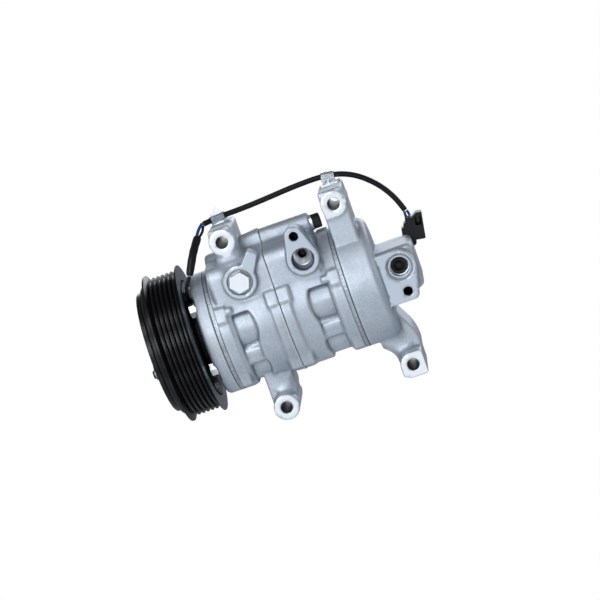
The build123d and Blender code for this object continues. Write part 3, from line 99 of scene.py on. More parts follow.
# ---------------------------------------------------------------- materials
class Shader:
    """A Principled material with short calls for the nodes round it."""

    def __init__(self, name, colour, metallic, roughness):
        self.material = bpy.data.materials.new(name)
        self.material.use_nodes = True
        self.tree = self.material.node_tree
        self.bsdf = self.tree.nodes["Principled BSDF"]
        self.bsdf.inputs["Base Color"].default_value = (*colour, 1)
        self.bsdf.inputs["Metallic"].default_value = metallic
        self.bsdf.inputs["Roughness"].default_value = roughness
        self.place = self.node("ShaderNodeTexCoord").outputs["Object"]

    def node(self, kind, **settings):
        made = self.tree.nodes.new(kind)
        for key, value in settings.items():
            setattr(made, key, value)
        return made

    def feed(self, socket, value):
        """Link an output, or set a plain number or colour."""
        if isinstance(value, bpy.types.NodeSocket):
            self.tree.links.new(value, socket)
        else:
            socket.default_value = value

    def math(self, operation, a, b=0.0, clamp=False):
        made = self.node("ShaderNodeMath", operation=operation, use_clamp=clamp)
        self.feed(made.inputs[0], a)
        self.feed(made.inputs[1], b)
        return made.outputs[0]

    def noise(self, size, detail=4.0, stretch=(1, 1, 1), place=None):
        """Noise whose grains are about size millimetres across, stretched along the axes."""
        mapping = self.node("ShaderNodeMapping")
        self.feed(mapping.inputs["Vector"], place or self.place)
        mapping.inputs["Scale"].default_value = [1 / (size * MM * s) for s in stretch]
        made = self.node("ShaderNodeTexNoise")
        self.feed(made.inputs["Vector"], mapping.outputs[0])
        made.inputs["Scale"].default_value = 1.0
        made.inputs["Detail"].default_value = detail
        return made.outputs["Fac"]

    def ramp(self, value, stops):
        """A colour ramp from (position, grey or colour) stops."""
        made = self.node("ShaderNodeValToRGB")
        self.feed(made.inputs[0], value)
        elements = made.color_ramp.elements
        while len(elements) < len(stops):
            elements.new(0.5)
        for element, (position, shade) in zip(elements, stops):
            element.position = position
            element.color = (*shade, 1) if isinstance(shade, tuple) else (shade, shade, shade, 1)
        return made.outputs[0]

    def mix(self, factor, first, second):
        made = self.node("ShaderNodeMix", data_type="RGBA")
        self.feed(made.inputs[0], factor)
        self.feed(made.inputs[6], first if not isinstance(first, tuple) else (*first, 1))
        self.feed(made.inputs[7], second if not isinstance(second, tuple) else (*second, 1))
        return made.outputs[2]

    def colour(self, value):
        self.feed(self.bsdf.inputs["Base Color"], value)

    def roughness(self, value):
        self.feed(self.bsdf.inputs["Roughness"], value)

    def bump(self, height, strength, distance):
        made = self.node("ShaderNodeBump")
        made.inputs["Strength"].default_value = strength
        made.inputs["Distance"].default_value = distance * MM
        self.feed(made.inputs["Height"], height)
        self.feed(self.bsdf.inputs["Normal"], made.outputs[0])

    def multiply(self, first, second):
        made = self.node("ShaderNodeMix", data_type="RGBA", blend_type="MULTIPLY")
        made.inputs[0].default_value = 1.0
        self.feed(made.inputs[6], first)
        self.feed(made.inputs[7], second)
        return made.outputs[2]

    def within(self, value, low, high):
        """One where the value lies between two places in millimetres."""
        above = self.math("GREATER_THAN", value, low * MM)
        return self.math("MULTIPLY", above, self.math("LESS_THAN", value, high * MM))

    def axes(self, place=None):
        made = self.node("ShaderNodeSeparateXYZ")
        self.feed(made.inputs[0], place or self.place)
        return made.outputs


# how nearly a face's normal lies along Y, and how near the face's plane a point is, to be machined:
# in the material, and on the dense mesh whose edges are already rounded
LOOK_FACING, LOOK_REACH = 0.97, 0.2
MESH_FACING, MESH_REACH = 0.6, 0.15


def machined_mask(s, pads, place, normal):
    """One on the listed faces square to Y."""
    x, y, z = place
    facing = s.math("GREATER_THAN", s.math("ABSOLUTE", normal[1]), LOOK_FACING)
    mask = None
    for plane, window in pads:
        inside = s.math("MULTIPLY", s.within(x, *window[:2]), s.within(z, *window[2:]))
        inside = s.math("MULTIPLY", inside, s.within(y, plane - LOOK_REACH, plane + LOOK_REACH))
        mask = inside if mask is None else s.math("MAXIMUM", mask, inside)
    return s.math("MULTIPLY", facing, mask)


def round_mask(s, place, centre_x, centre_z, radius, mouth, far_end):
    """One inside a round hole along Y."""
    x, y, z = place
    across = s.math("SUBTRACT", x, centre_x * MM)
    along = s.math("SUBTRACT", z, centre_z * MM)
    square = s.math("ADD", s.math("MULTIPLY", across, across), s.math("MULTIPLY", along, along))
    inside = s.math("LESS_THAN", square, (radius * MM) ** 2)
    return s.math("MULTIPLY", inside, s.within(y, mouth, far_end))


def any_round(s, place, holes):
    mask = None
    for item in holes:
        inside = round_mask(s, place, *item)
        mask = inside if mask is None else s.math("MAXIMUM", mask, inside)
    return mask


def cast_aluminium():
    """As-cast alloy with a fine grain; machined faces are smooth; holes, bores and the
    counterbore's shelf are painted dark as shade, the nose has a painted shadow, hollows painted
    shade and crests a painted highlight.
    """
    s = Shader("cast_aluminium", (0.62, 0.68, 0.76), 0.78, 0.42)
    place = s.axes()
    normal = s.axes(s.node("ShaderNodeNewGeometry").outputs["True Normal"])
    ports = machined_mask(s, PORT_PADS, place, normal)
    lugs = machined_mask(s, LUG_PADS, place, normal)
    port = round_mask(s, place, *COUNTERBORE)
    cone = s.math("MULTIPLY", port, round_mask(s, place, *CONE_MOUTH))
    counterbore_shade = s.math("SUBTRACT", port, cone)
    hole = any_round(s, place, HOLES)
    bore = any_round(s, place, LUG_BORES)
    tint = s.ramp(s.noise(22, 3), [(0.3, (0.58, 0.64, 0.72)), (0.7, (0.66, 0.72, 0.79))])
    speck = s.ramp(s.noise(1.3, 2), [(0.35, 0.86), (0.65, 1.0)])
    tint = s.multiply(tint, speck)
    # painted shade in hollows and painted highlight on crests, from the depth of hollow stored on
    # the mesh
    crease_shade_crest_highlight = s.node("ShaderNodeAttribute", attribute_name="crease_shade_crest_highlight").outputs["Fac"]
    tint = s.multiply(tint, s.ramp(crease_shade_crest_highlight, [(0.0, 1.0), (0.35, 0.84), (1.0, 0.60)]))
    crest_highlight = s.math("MULTIPLY", crease_shade_crest_highlight, -0.4, clamp=True)
    tint = s.mix(crest_highlight, tint, (0.93, 0.96, 0.99))
    seam = s.within(place[0], MIDDLE - JOINT_LINE / 2, MIDDLE + JOINT_LINE / 2)
    tint = s.mix(seam, tint, (0.16, 0.17, 0.19))
    colour = s.mix(ports, tint, (0.56, 0.63, 0.71))
    colour = s.mix(s.math("MAXIMUM", lugs, cone), colour, (0.90, 0.93, 0.97))
    # painted shade on the counterbore's shelf round the cone's mouth
    colour = s.mix(counterbore_shade, colour, (0.13, 0.14, 0.16))
    # painted shadow on the housing's nose behind the pulley, fading out past NOSE_BACK
    nose_shadow = s.math("LESS_THAN", place[0], NOSE_BACK * MM)
    past = s.math("DIVIDE", s.math("SUBTRACT", place[0], NOSE_BACK * MM), NOSE_FADE * MM)
    shadow_fade = s.math("MULTIPLY", s.math("SUBTRACT", 1.0, past, clamp=True), 0.6)
    # the painted shade of the holes and the nose's painted shadow, as one mask
    painted_shade = s.math("MAXIMUM", s.math("MAXIMUM", hole, nose_shadow), shadow_fade)
    # the lug bores are painted dark inside as shade
    colour = s.mix(bore, colour, (0.20, 0.19, 0.19))
    s.colour(s.mix(painted_shade, colour, (0.012, 0.012, 0.014)))
    grain = s.noise(0.9, 5)
    rough = s.ramp(s.noise(9, 3), [(0.3, 0.47), (0.7, 0.58)])
    smooth = s.math("MAXIMUM", s.math("MAXIMUM", ports, lugs), cone)
    s.roughness(s.mix(smooth, rough, (0.33, 0.33, 0.33)))
    thread = s.math("SINE", s.math("MULTIPLY", place[1], math.tau / (THREAD_PITCH * MM)))
    height = s.math("MULTIPLY", grain, s.math("SUBTRACT", 1.0, smooth))
    height = s.math("ADD", height, s.math("MULTIPLY", s.math("MULTIPLY", thread, hole), 1.5))
    s.bump(height, 0.3, 0.3)
    return s.material


def plate_edge():
    """Cut edge of a pressed plate: fine hatching across it, and a dark line at each joint."""
    s = Shader("plate_edge", (0.34, 0.37, 0.41), 0.9, 0.5)
    hatch = s.noise(0.5, 2, stretch=(8, 1, 1))
    cut = s.ramp(hatch, [(0.4, (0.36, 0.40, 0.45)), (0.6, (0.60, 0.66, 0.73))])
    place = s.axes()
    joint = None
    for plane in PLATE_FACES:
        line = s.within(place[0], plane - JOINT_LINE, plane + JOINT_LINE)
        joint = line if joint is None else s.math("MAXIMUM", joint, line)
    s.colour(s.mix(joint, cut, (0.03, 0.03, 0.035)))
    s.bump(hatch, 0.2, 0.1)
    return s.material


# the pulley's rear flange face: its inner radius, and the window of X round it
FLANGE_R = 45.5
FLANGE_X = (11.5, 14)


def satin_black():
    """Black paint with faint turned streaks round the shaft, grey on the rear flange face."""
    s = Shader("satin_black", (0.004, 0.004, 0.005), 0.0, 0.25)
    s.bsdf.inputs["Specular IOR Level"].default_value = 0.3
    x, y, z = s.axes()
    radius = s.math("SQRT", s.math("ADD", s.math("MULTIPLY", y, y), s.math("MULTIPLY", z, z)))
    turned = s.node("ShaderNodeCombineXYZ")
    s.feed(turned.inputs[0], x)
    s.feed(turned.inputs[1], radius)
    streaks = s.noise(0.5, 4, place=turned.outputs[0])
    normal = s.axes(s.node("ShaderNodeNewGeometry").outputs["True Normal"])
    facing = s.math("GREATER_THAN", normal[0], 0.9)
    rear = s.math("MULTIPLY", facing, s.math("GREATER_THAN", radius, FLANGE_R * MM))
    rear = s.math("MULTIPLY", rear, s.within(x, *FLANGE_X))
    s.roughness(s.ramp(streaks, [(0.3, 0.24), (0.7, 0.38)]))
    paint = s.ramp(streaks, [(0.35, (0.003, 0.003, 0.004)), (0.75, (0.008, 0.008, 0.010))])
    s.colour(s.mix(rear, paint, (0.16, 0.20, 0.25)))
    s.bump(streaks, 0.1, 0.08)
    return s.material


def bright_steel(name, colour, roughness):
    s = Shader(name, colour, 1.0, roughness)
    mottle = s.noise(2.5, 4)
    s.roughness(s.ramp(mottle, [(0.3, roughness - 0.06), (0.7, roughness + 0.08)]))
    s.bump(s.noise(1.6, 3), 0.05, 0.08)
    return s.material


def moulded(name, colour, roughness, grain=0.4):
    s = Shader(name, colour, 0.0, roughness)
    s.bsdf.inputs["Specular IOR Level"].default_value = 0.3
    speckle = s.noise(grain, 3)
    s.roughness(s.ramp(speckle, [(0.3, roughness - 0.05), (0.7, roughness + 0.08)]))
    s.bump(speckle, 0.2, 0.08)
    return s.material


LOOKS = {
    "cast_aluminium": cast_aluminium(),
    "clutch_black": satin_black(),
    "zinc_steel": bright_steel("zinc_steel", (0.86, 0.89, 0.93), 0.34),
    "bearing_steel": bright_steel("bearing_steel", (0.60, 0.61, 0.62), 0.2),
    "spring_steel": bright_steel("spring_steel", (0.30, 0.31, 0.33), 0.32),
    "piston_alloy": bright_steel("piston_alloy", (0.60, 0.58, 0.54), 0.35),
    "gasket_black": moulded("gasket_black", (0.05, 0.05, 0.055), 0.6),
    "seal_rubber": moulded("seal_rubber", (0.03, 0.03, 0.032), 0.7),
    "copper_wire": bright_steel("copper_wire", (0.72, 0.36, 0.18), 0.35),
    "coil_resin": moulded("coil_resin", (0.04, 0.04, 0.05), 0.45),
    "black_plastic": moulded("black_plastic", (0.008, 0.009, 0.011), 0.38),
    "jacket_black": moulded("jacket_black", (0.008, 0.008, 0.010), 0.36),
    "wire_blue": moulded("wire_blue", (0.006, 0.06, 0.26), 0.35),
    "plate_edge": plate_edge(),
}
# nodes whose look differs from their slot's
OTHER_LOOKS = {
    "front_valve_plate": "plate_edge",
    "rear_valve_plate": "plate_edge",
    "clutch_rivets": "clutch_black",
    "oil_plug_washer": "spring_steel",
}


def dress_nodes():
    slots = {entry["node"]: entry["material_slot"] for entry in frame["record"]["subparts"]}
    slots.update(OTHER_LOOKS)
    for name, obj in NODES.items():
        obj.data.materials.clear()
        obj.data.materials.append(LOOKS[slots[name]])


dress_nodes()


# ---------------------------------------------------------------- castings
VOXEL = 0.62
# rounds of relaxing: the whole skin, the wide fillets, the skin once more, and the smooth skin that
# creases are measured from
CAST_ROUNDS = 9
BLEND_ROUNDS = 180
SEAL_ROUNDS = 3
CREASE_ROUNDS = 24
# the depth of hollow that counts as one, and the share of faces that thinning keeps
CREASE_DEPTH = 0.55
KEEP_SHARE = 0.5
# mating planes of the castings, where the skin keeps its place along the shaft
CASTINGS = {
    "front_housing": (HOUSING_BACK,),
    "front_cylinder_block": (BLOCK_FRONT, MIDDLE),
    "rear_cylinder_block": (MIDDLE, BLOCK_BACK),
    "rear_head": (HEAD_FRONT,),
}
# how near a mating plane a vertex counts as on it, and how squarely a face there looks along X
SEAL_REACH, SEAL_FACING = 0.7 * VOXEL, 0.9
# the space inside the castings, which isn't relaxed: its radius, its ends and its half height
CAVITY_R, CAVITY_FRONT, CAVITY_BACK, CAVITY_HALF = 43.0, 21.0, 150.0, 50


def evaluated_mesh(obj):
    graph = bpy.context.evaluated_depsgraph_get()
    return bpy.data.meshes.new_from_object(obj.evaluated_get(graph))


def dense_copy(name):
    """A close, even mesh of a CAD node, lying on the node's own surface."""
    obj = bpy.data.objects.new(name + "_cast", NODES[name].data.copy())
    bpy.context.collection.objects.link(obj)
    remesh = obj.modifiers.new("remesh", "REMESH")
    remesh.mode = "VOXEL"
    remesh.voxel_size = VOXEL * MM
    wrap = obj.modifiers.new("wrap", "SHRINKWRAP")
    wrap.target = NODES[name]
    wrap.wrap_method = "NEAREST_SURFACEPOINT"
    mesh = evaluated_mesh(obj)
    obj.modifiers.clear()
    obj.data = mesh
    return obj


def read_floats(items, field, width=3):
    values = np.empty(len(items) * width)
    items.foreach_get(field, values)
    return values.reshape(-1, width)


def machined_points(places, normals):
    """True at the points on a machined face, in a mounting bore or inside the casting."""
    x, y, z = places.T / MM
    fixed = (np.hypot(y, z) < CAVITY_R) & (x > CAVITY_FRONT) & (x < CAVITY_BACK)
    fixed &= np.abs(z) < CAVITY_HALF
    for plane, (x0, x1, z0, z1) in PORT_PADS + LUG_PADS:
        near = (np.abs(y - plane) < MESH_REACH) & (np.abs(normals[:, 1]) > MESH_FACING)
        fixed |= near & (x > x0) & (x < x1) & (z > z0) & (z < z1)
    for lug_x, lug_z in LUGS:
        fixed |= np.hypot(x - lug_x, z - lug_z) < LUG_BORE_R + BORE_MARGIN
    return fixed


def relax(places, pairs, free, rounds, locked=False):
    """Move each free point half-way to the middle of its neighbours, but no locked one along X."""
    giver, taker = pairs
    count = np.maximum(np.bincount(taker, minlength=len(places)), 1)
    for _ in range(rounds):
        for axis in range(3):
            total = np.bincount(taker, weights=places[giver, axis], minlength=len(places))
            step = 0.5 * (total / count - places[:, axis])
            move = free & np.logical_not(locked) if axis == 0 else free
            places[:, axis] += np.where(move, step, 0)


# the barrel's edge at each pocket: its X, the far ends of the pull along the shaft, and its reach
POCKET_EDGES = [(57.5, 47.0, 71.0, 3.0), (102.0, 112.5, 90.0, -3.0)]
BARREL_R = 36
# the upper and the lower row of pockets: the share of the reach, and the middle and half width of
# the bow in degrees above the port side
POCKET_ROWS = [(1.0, 1.5, 16.5), (0.7, -46, 15)]
# where castings flow into each other in wide fillets: centre and radius
BLENDS = [
    ((55, -28, 50), 13),
    ((50, -33, 42), 9),
    ((68, -14, 50), 11),
    ((76, -13, 50), 11),
    ((86, -13, 50), 11),
    ((97, -15, 50), 11),
    ((107, -18, 50), 8),
    ((140, -20, 46), 12),
    ((62, -24, -50), 10),
    ((150, -12, -50), 12),
]


def round_shaft(places):
    """X and radius in millimetres, and degrees above the port side."""
    x, y, z = places.T / MM
    return x, np.hypot(y, z), np.degrees(np.arctan2(z, -y))


def grow_radius(places, factor):
    places[:, 1] *= factor
    places[:, 2] *= factor


def bow_pockets(places):
    """Bow the barrel's edge along each pocket, as the cylinder bores behind it do."""
    x, radius, angle = round_shaft(places)
    bow = 0
    for share, middle, half in POCKET_ROWS:
        bow = bow + share * np.clip(1 - ((angle - middle) / half) ** 2, 0, 1)
    for edge, inner, outer, reach in POCKET_EDGES:
        pull = np.interp(x, *zip(*sorted([(inner, 0), (edge, 1), (outer, 0)])))
        places[:, 0] += np.where(radius > BARREL_R, reach * pull * bow, 0) * MM


# the bolt column low on the port side: each pocket it crosses, and its outline as degrees above
# the port side against radius
COLUMN_POCKETS = [(44.5, 57.5), (102.5, 117.5)]
COLUMN_OUTLINE = [(-43, 36), (-39.5, 41.5), (-35.5, 44.8), (-20, 41.4), (-14.5, 36)]
# the raised part's inner radius, the degrees that its upper edge leans, and where it starts to
COLUMN_ROOT_R, COLUMN_FLARE, FLARE_FROM = 35, 4.0, -30
# the three low pads along X, and how much prouder each stands by degrees above the port side
LOW_PADS = [(33.0, 41.2), (71.4, 89.9), (119.6, 127.6)]
PAD_LIFT = [(-64, 0), (-54, 1.9), (-41, 0)]
PAD_ROOT_R, PAD_TOP_R = 41.0, 48.0


def face_column(places):
    """Give the bolt column a flat upper face that widens towards the barrel's middle."""
    x, radius, angle = round_shaft(places)
    for start, end in COLUMN_POCKETS:
        share = np.clip((x - start) / (end - start), 0, 1)
        if start > MIDDLE:
            share = 1 - share
        lean = np.where(angle > FLARE_FROM, COLUMN_FLARE * share, 0)
        target = np.interp(angle - lean, *zip(*COLUMN_OUTLINE))
        raised = (x > start) & (x < end) & (radius > COLUMN_ROOT_R) & (radius < target)
        grow_radius(places, np.where(raised, target / np.maximum(radius, 1), 1))


def lift_pads(places):
    """Tip the faces of the low pads further towards the port side."""
    x, radius, angle = round_shaft(places)
    lift = np.interp(angle, *zip(*PAD_LIFT))
    inside = np.zeros(len(places), dtype=bool)
    for start, end in LOW_PADS:
        inside |= (x > start) & (x < end)
    lift *= inside * np.clip((radius - PAD_ROOT_R) / (PAD_TOP_R - PAD_ROOT_R), 0, 1)
    grow_radius(places, 1 + lift / np.maximum(radius, 1))


def edge_pairs(mesh):
    """Each edge both ways round, as the indices of the giving and the taking vertex."""
    ends = np.empty(len(mesh.edges) * 2, dtype=np.int64)
    mesh.edges.foreach_get("vertices", ends)
    first, second = ends.reshape(-1, 2).T
    return np.concatenate([first, second]), np.concatenate([second, first])


def mark_creases(mesh):
    """Store how deep each vertex lies in a hollow, one at the set depth and minus one on a crest,
    for the painted shade in hollows and the painted highlight on crests.
    """
    places = read_floats(mesh.vertices, "co")
    normals = read_floats(mesh.vertices, "normal")
    smooth = places.copy()
    relax(smooth, edge_pairs(mesh), True, CREASE_ROUNDS)
    depth = np.einsum("ij,ij->i", smooth - places, normals) / (CREASE_DEPTH * MM)
    layer = mesh.attributes.new("crease_shade_crest_highlight", "FLOAT", "POINT")
    layer.data.foreach_set("value", np.clip(depth, -1, 1))


def soften(name):
    """Round the cast edges of a casting and keep its machined faces, bores and joints."""
    obj = dense_copy(name)
    mesh = obj.data
    places = read_floats(mesh.vertices, "co")
    normals = read_floats(mesh.vertices, "normal")
    giver, taker = edge_pairs(mesh)
    fixed = machined_points(places, normals)
    seal = np.zeros(len(places), dtype=bool)
    ring = np.zeros(len(places), dtype=bool)
    for plane in CASTINGS[name]:
        close = np.abs(places[:, 0] / MM - plane) < SEAL_REACH
        ring |= close
        seal |= close & (np.abs(normals[:, 0]) > SEAL_FACING)
    kept = ~(seal[giver] & ~seal[taker])
    bow_pockets(places)
    face_column(places)
    lift_pads(places)
    relax(places, (giver[kept], taker[kept]), ~fixed, CAST_ROUNDS, ring)
    wide = np.zeros(len(places), dtype=bool)
    for centre, radius in BLENDS:
        wide |= np.linalg.norm(places / MM - centre, axis=1) < radius
    kept &= wide[taker]
    relax(places, (giver[kept], taker[kept]), wide & ~fixed, BLEND_ROUNDS, ring)
    relax(places, (giver, taker), ~fixed, SEAL_ROUNDS)
    mesh.vertices.foreach_set("co", places.ravel())
    mesh.update()
    thin = obj.modifiers.new("thin", "DECIMATE")
    thin.ratio = KEEP_SHARE
    obj.data = evaluated_mesh(obj)
    obj.modifiers.clear()
    mark_creases(obj.data)
    obj.data.materials.clear()
    obj.data.materials.append(LOOKS["cast_aluminium"])
    obj.data.shade_smooth()
    obj.data.set_sharp_from_angle(angle=SHARP_ANGLE)
    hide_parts(name)
    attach(obj, "compressor")
    return obj


for casting in CASTINGS:
    soften(casting)


# ---------------------------------------------------------------- harness
LEAD_ROUTE = [
    (16.0, -19.6, 30.8), (16.1, -23.0, 35.9), (17.5, -25.6, 40.6), (20.4, -26.9, 45.0),
    (23.1, -27.0, 49.1),
]
SLEEVE_ROUTE = [
    (23.3, -27.0, 49.6), (26.3, -25.7, 55.2), (29.2, -22.2, 61.0), (32.4, -16.2, 66.7),
    (36.0, -8.5, 71.9),
]
UPPER_WIRE_ROUTE = [(35.5, -8.3, 72.6), (37.5, -4.9, 75.9), (39.6, -1.9, 78.4), (41.9, 0.4, 80.1)]
LOWER_WIRE_ROUTE = [(36.9, -8.1, 71.7), (39.5, -5.2, 73.5), (41.3, -2.4, 75.6), (42.0, 0.2, 78.0)]
CABLE_ROUTE = [
    (43.1, 1.6, 79.5), (47.6, 4.6, 79.8), (58.1, 8.2, 80.3), (73.9, 11.2, 80.2),
    (91.7, 14.0, 81.0), (110.6, 17.0, 82.2), (127.6, 19.4, 82.6), (137.5, 20.4, 82.1),
    (146.0, 21.2, 80.7), (153.5, 21.9, 78.3), (161.5, 22.6, 74.0), (169.0, 23.4, 67.7),
    (175.4, 24.3, 60.6), (180.4, 25.0, 52.9), (184.2, 25.6, 44.8), (186.5, 26.0, 37.5),
]
LEFT_TAIL = [(185.8, 25.9, 36.8), (185.4, 25.8, 34.6), (185.6, 25.7, 32.0)]
RIGHT_TAIL = [(187.7, 26.3, 36.9), (188.3, 26.4, 35.0), (188.5, 26.4, 32.4)]
LEAD_R, SLEEVE_R, UPPER_WIRE_R, WIRE_R, CABLE_R = 1.5, 3.0, 1.15, 1.0, 2.1
TUBE_SIDES = 20


def route_curve(name, route, radius=0.0):
    """A smooth line guided by a route's points, round in section where a radius is given."""
    curve = bpy.data.curves.new(name, "CURVE")
    curve.dimensions = "3D"
    curve.bevel_depth = radius * MM
    curve.bevel_resolution = 6
    curve.use_fill_caps = True
    spline = curve.splines.new("NURBS")
    spline.points.add(len(route) - 1)
    for point, place in zip(spline.points, route):
        point.co = (*mm(*place), 1)
    spline.order_u = 3
    spline.use_endpoint_u = True
    spline.resolution_u = 10
    obj = bpy.data.objects.new(name, curve)
    bpy.context.collection.objects.link(obj)
    return obj


def settle(obj, slot, *replaced):
    obj.data.materials.append(LOOKS[slot])
    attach(obj, "compressor")
    if replaced:
        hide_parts(*replaced)


def route_points(name, route):
    """Even points along the smooth line of a route."""
    line = route_curve(name, route)
    mesh = evaluated_mesh(line)
    points = [vertex.co.copy() for vertex in mesh.vertices]
    bpy.data.objects.remove(line)
    return points


def tube(name, route, radius_at):
    """A closed tube along a route, with a radius, in millimetres, for each share of its length."""
    points = route_points(name, route)
    lengths = [0.0]
    for here, there in zip(points, points[1:]):
        lengths.append(lengths[-1] + (there - here).length)
    corners, faces = [], []
    side = Vector((0, 1, 0))
    for index, point in enumerate(points):
        ahead = points[min(index + 1, len(points) - 1)] - points[max(index - 1, 0)]
        across = ahead.cross(side).normalized()
        side = across.cross(ahead).normalized()
        radius = radius_at(lengths[index] / lengths[-1]) * MM
        for turn in range(TUBE_SIDES):
            angle = math.tau * turn / TUBE_SIDES
            corners.append(point + radius * (math.cos(angle) * across + math.sin(angle) * side))
    for row in range(len(points) - 1):
        for turn in range(TUBE_SIDES):
            a, b = row * TUBE_SIDES + turn, row * TUBE_SIDES + (turn + 1) % TUBE_SIDES
            faces.append((a, b, b + TUBE_SIDES, a + TUBE_SIDES))
    last = (len(points) - 1) * TUBE_SIDES
    faces.append(tuple(reversed(range(TUBE_SIDES))))
    faces.append(tuple(range(last, last + TUBE_SIDES)))
    mesh = bpy.data.meshes.new(name)
    mesh.from_pydata(corners, [], faces)
    mesh.update()
    mesh.shade_smooth()
    mesh.set_sharp_from_angle(angle=SHARP_ANGLE)
    obj = bpy.data.objects.new(name, mesh)
    bpy.context.collection.objects.link(obj)
    return obj


# the shrink tube's neck: its depth and its share of the length; and the waves along the tube
DRAWN_IN, DRAWN_SHARE = 0.8, 0.2
WAVE_HEIGHT, WAVE_TURNS = 0.07, 23


def sleeve_radius(share):
    """Shrink tube: drawn in at its lower end, a little uneven along its length."""
    drawn_in = DRAWN_IN * max(0.0, 1 - share / DRAWN_SHARE) ** 2
    return SLEEVE_R - drawn_in + WAVE_HEIGHT * math.sin(share * WAVE_TURNS)


settle(tube("clutch_lead", LEAD_ROUTE, lambda share: LEAD_R), "jacket_black", "harness_lead")
settle(tube("shrink_sleeve", SLEEVE_ROUTE, sleeve_radius), "jacket_black", "harness_sleeve")
upper_wire = tube("upper_wire", UPPER_WIRE_ROUTE, lambda share: UPPER_WIRE_R)
settle(upper_wire, "wire_blue", "harness_wires")
settle(tube("lower_wire", LOWER_WIRE_ROUTE, lambda share: WIRE_R), "jacket_black")
settle(tube("left_tail", LEFT_TAIL, lambda share: WIRE_R), "wire_blue")
settle(tube("right_tail", RIGHT_TAIL, lambda share: WIRE_R), "wire_blue")
cable = route_curve("clutch_cable", CABLE_ROUTE, CABLE_R)
settle(cable, "jacket_black", "harness_cable")


# ---------------------------------------------------------------- camera, light and floor
# the camera looks at the target from this far, in metres
TARGET = mm(91.6, 0, 2.5)
DISTANCE = 1.7
YAW = math.radians(4.65)
ELEVATION = math.radians(7.8)
SHAFT_RISE = math.radians(19)
# image pixels to a millimetre at the target, and the frame's width in pixels
PIXELS_PER_MM = 1.345
FRAME_PIXELS = 600
SENSOR = 36.0
CLIP_END = 100
COOL = (0.93, 0.96, 1.0)
FLOOR_Z, FLOOR_HALF = -1.5, 40


def add_camera():
    """Look at the port side from a little above and behind, rolled so that the shaft rises."""
    back = Vector((
        math.sin(YAW),
        -math.cos(YAW) * math.cos(ELEVATION),
        math.cos(YAW) * math.sin(ELEVATION),
    ))
    level = (-back).cross(Vector((0, 0, 1))).normalized()
    upright = level.cross(-back)
    roll = SHAFT_RISE - math.atan2(upright.x, level.x)
    right = math.cos(roll) * level - math.sin(roll) * upright
    up = math.sin(roll) * level + math.cos(roll) * upright
    data = bpy.data.cameras.new("camera")
    data.sensor_width = SENSOR
    data.lens = SENSOR * PIXELS_PER_MM * (DISTANCE / MM) / FRAME_PIXELS
    data.clip_end = CLIP_END
    camera = bpy.data.objects.new("camera", data)
    bpy.context.collection.objects.link(camera)
    turn = Matrix((right, up, back)).transposed().to_4x4()
    camera.matrix_world = Matrix.Translation(TARGET + DISTANCE * back) @ turn
    bpy.context.scene.camera = camera


def add_light(name, place, size, power):
    """A panel of cool light that faces the target; size in metres, power in watts."""
    data = bpy.data.lights.new(name, "AREA")
    data.shape = "RECTANGLE"
    data.size, data.size_y = size
    data.energy = power
    data.color = COOL
    light = bpy.data.objects.new(name, data)
    bpy.context.collection.objects.link(light)
    light.location = place
    light.rotation_euler = (TARGET - place).to_track_quat("-Z", "Y").to_euler()
    return light


def from_angles(azimuth, elevation, distance):
    """A place round the target, by degrees to the right of -Y and above the shaft's plane."""
    a, e = math.radians(azimuth), math.radians(elevation)
    toward = Vector((math.sin(a) * math.cos(e), -math.cos(a) * math.cos(e), math.sin(e)))
    return TARGET + distance * toward


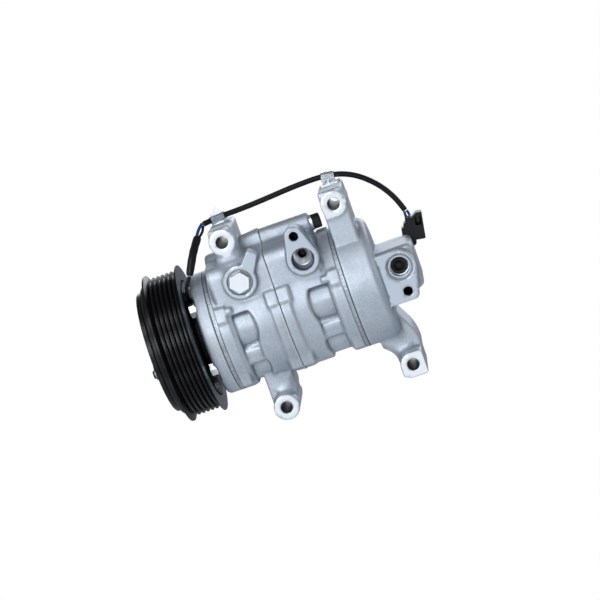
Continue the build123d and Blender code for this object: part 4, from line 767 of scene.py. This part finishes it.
def add_world():
    """White to the camera's own rays, a soft grey studio to everything else."""
    world = bpy.data.worlds.new("studio")
    world.use_nodes = True
    bpy.context.scene.world = world
    tree = world.node_tree
    background = tree.nodes["Background"]
    background.inputs["Color"].default_value = (0.88, 0.94, 1.0, 1)
    background.inputs["Strength"].default_value = 0.16
    white = tree.nodes.new("ShaderNodeBackground")
    white.inputs["Color"].default_value = (1, 1, 1, 1)
    white.inputs["Strength"].default_value = 1.0
    path = tree.nodes.new("ShaderNodeLightPath")
    mix = tree.nodes.new("ShaderNodeMixShader")
    tree.links.new(path.outputs["Is Camera Ray"], mix.inputs[0])
    tree.links.new(background.outputs[0], mix.inputs[1])
    tree.links.new(white.outputs[0], mix.inputs[2])
    tree.links.new(mix.outputs[0], tree.nodes["World Output"].inputs["Surface"])


def add_floor():
    """A wide pale floor that reads as plain white paper."""
    mesh = bpy.data.meshes.new("floor")
    signs = [(-1, -1), (1, -1), (1, 1), (-1, 1)]
    corners = [(FLOOR_HALF * a, FLOOR_HALF * b, FLOOR_Z) for a, b in signs]
    mesh.from_pydata(corners, [], [(0, 1, 2, 3)])
    floor = bpy.data.objects.new("floor", mesh)
    bpy.context.collection.objects.link(floor)
    material = bpy.data.materials.new("paper")
    material.use_nodes = True
    tree = material.node_tree
    bsdf = tree.nodes["Principled BSDF"]
    bsdf.inputs["Base Color"].default_value = (0.8, 0.82, 0.85, 1)
    bsdf.inputs["Emission Color"].default_value = (0.9, 0.95, 1.0, 1)
    bsdf.inputs["Emission Strength"].default_value = 0.12
    bsdf.inputs["Roughness"].default_value = 0.9
    glow = tree.nodes.new("ShaderNodeEmission")
    glow.inputs["Color"].default_value = (1, 1, 1, 1)
    path = tree.nodes.new("ShaderNodeLightPath")
    mix = tree.nodes.new("ShaderNodeMixShader")
    tree.links.new(path.outputs["Is Camera Ray"], mix.inputs[0])
    tree.links.new(bsdf.outputs[0], mix.inputs[1])
    tree.links.new(glow.outputs[0], mix.inputs[2])
    tree.links.new(mix.outputs[0], tree.nodes["Material Output"].inputs["Surface"])
    mesh.materials.append(material)


add_camera()
add_world()
add_floor()
add_light("key", from_angles(-16, 18, 1.8), (1.0, 0.6), 12)
add_light("top", from_angles(-20, 52, 1.7), (1.2, 0.4), 6.5)
add_light("low", from_angles(0, -12, 1.7), (1.2, 0.3), 1.8)
add_light("under", from_angles(-10, -42, 1.7), (1.2, 0.4), 2)
add_light("left", from_angles(-85, 12, 1.4), (0.25, 1.0), 3)
add_light("right", from_angles(80, 15, 1.4), (0.25, 1.0), 2)
behind = add_light("behind", from_angles(165, 16, 1.6), (1.9, 0.7), 10)
behind.visible_camera = False
bpy.context.scene.view_settings.view_transform = "Standard"
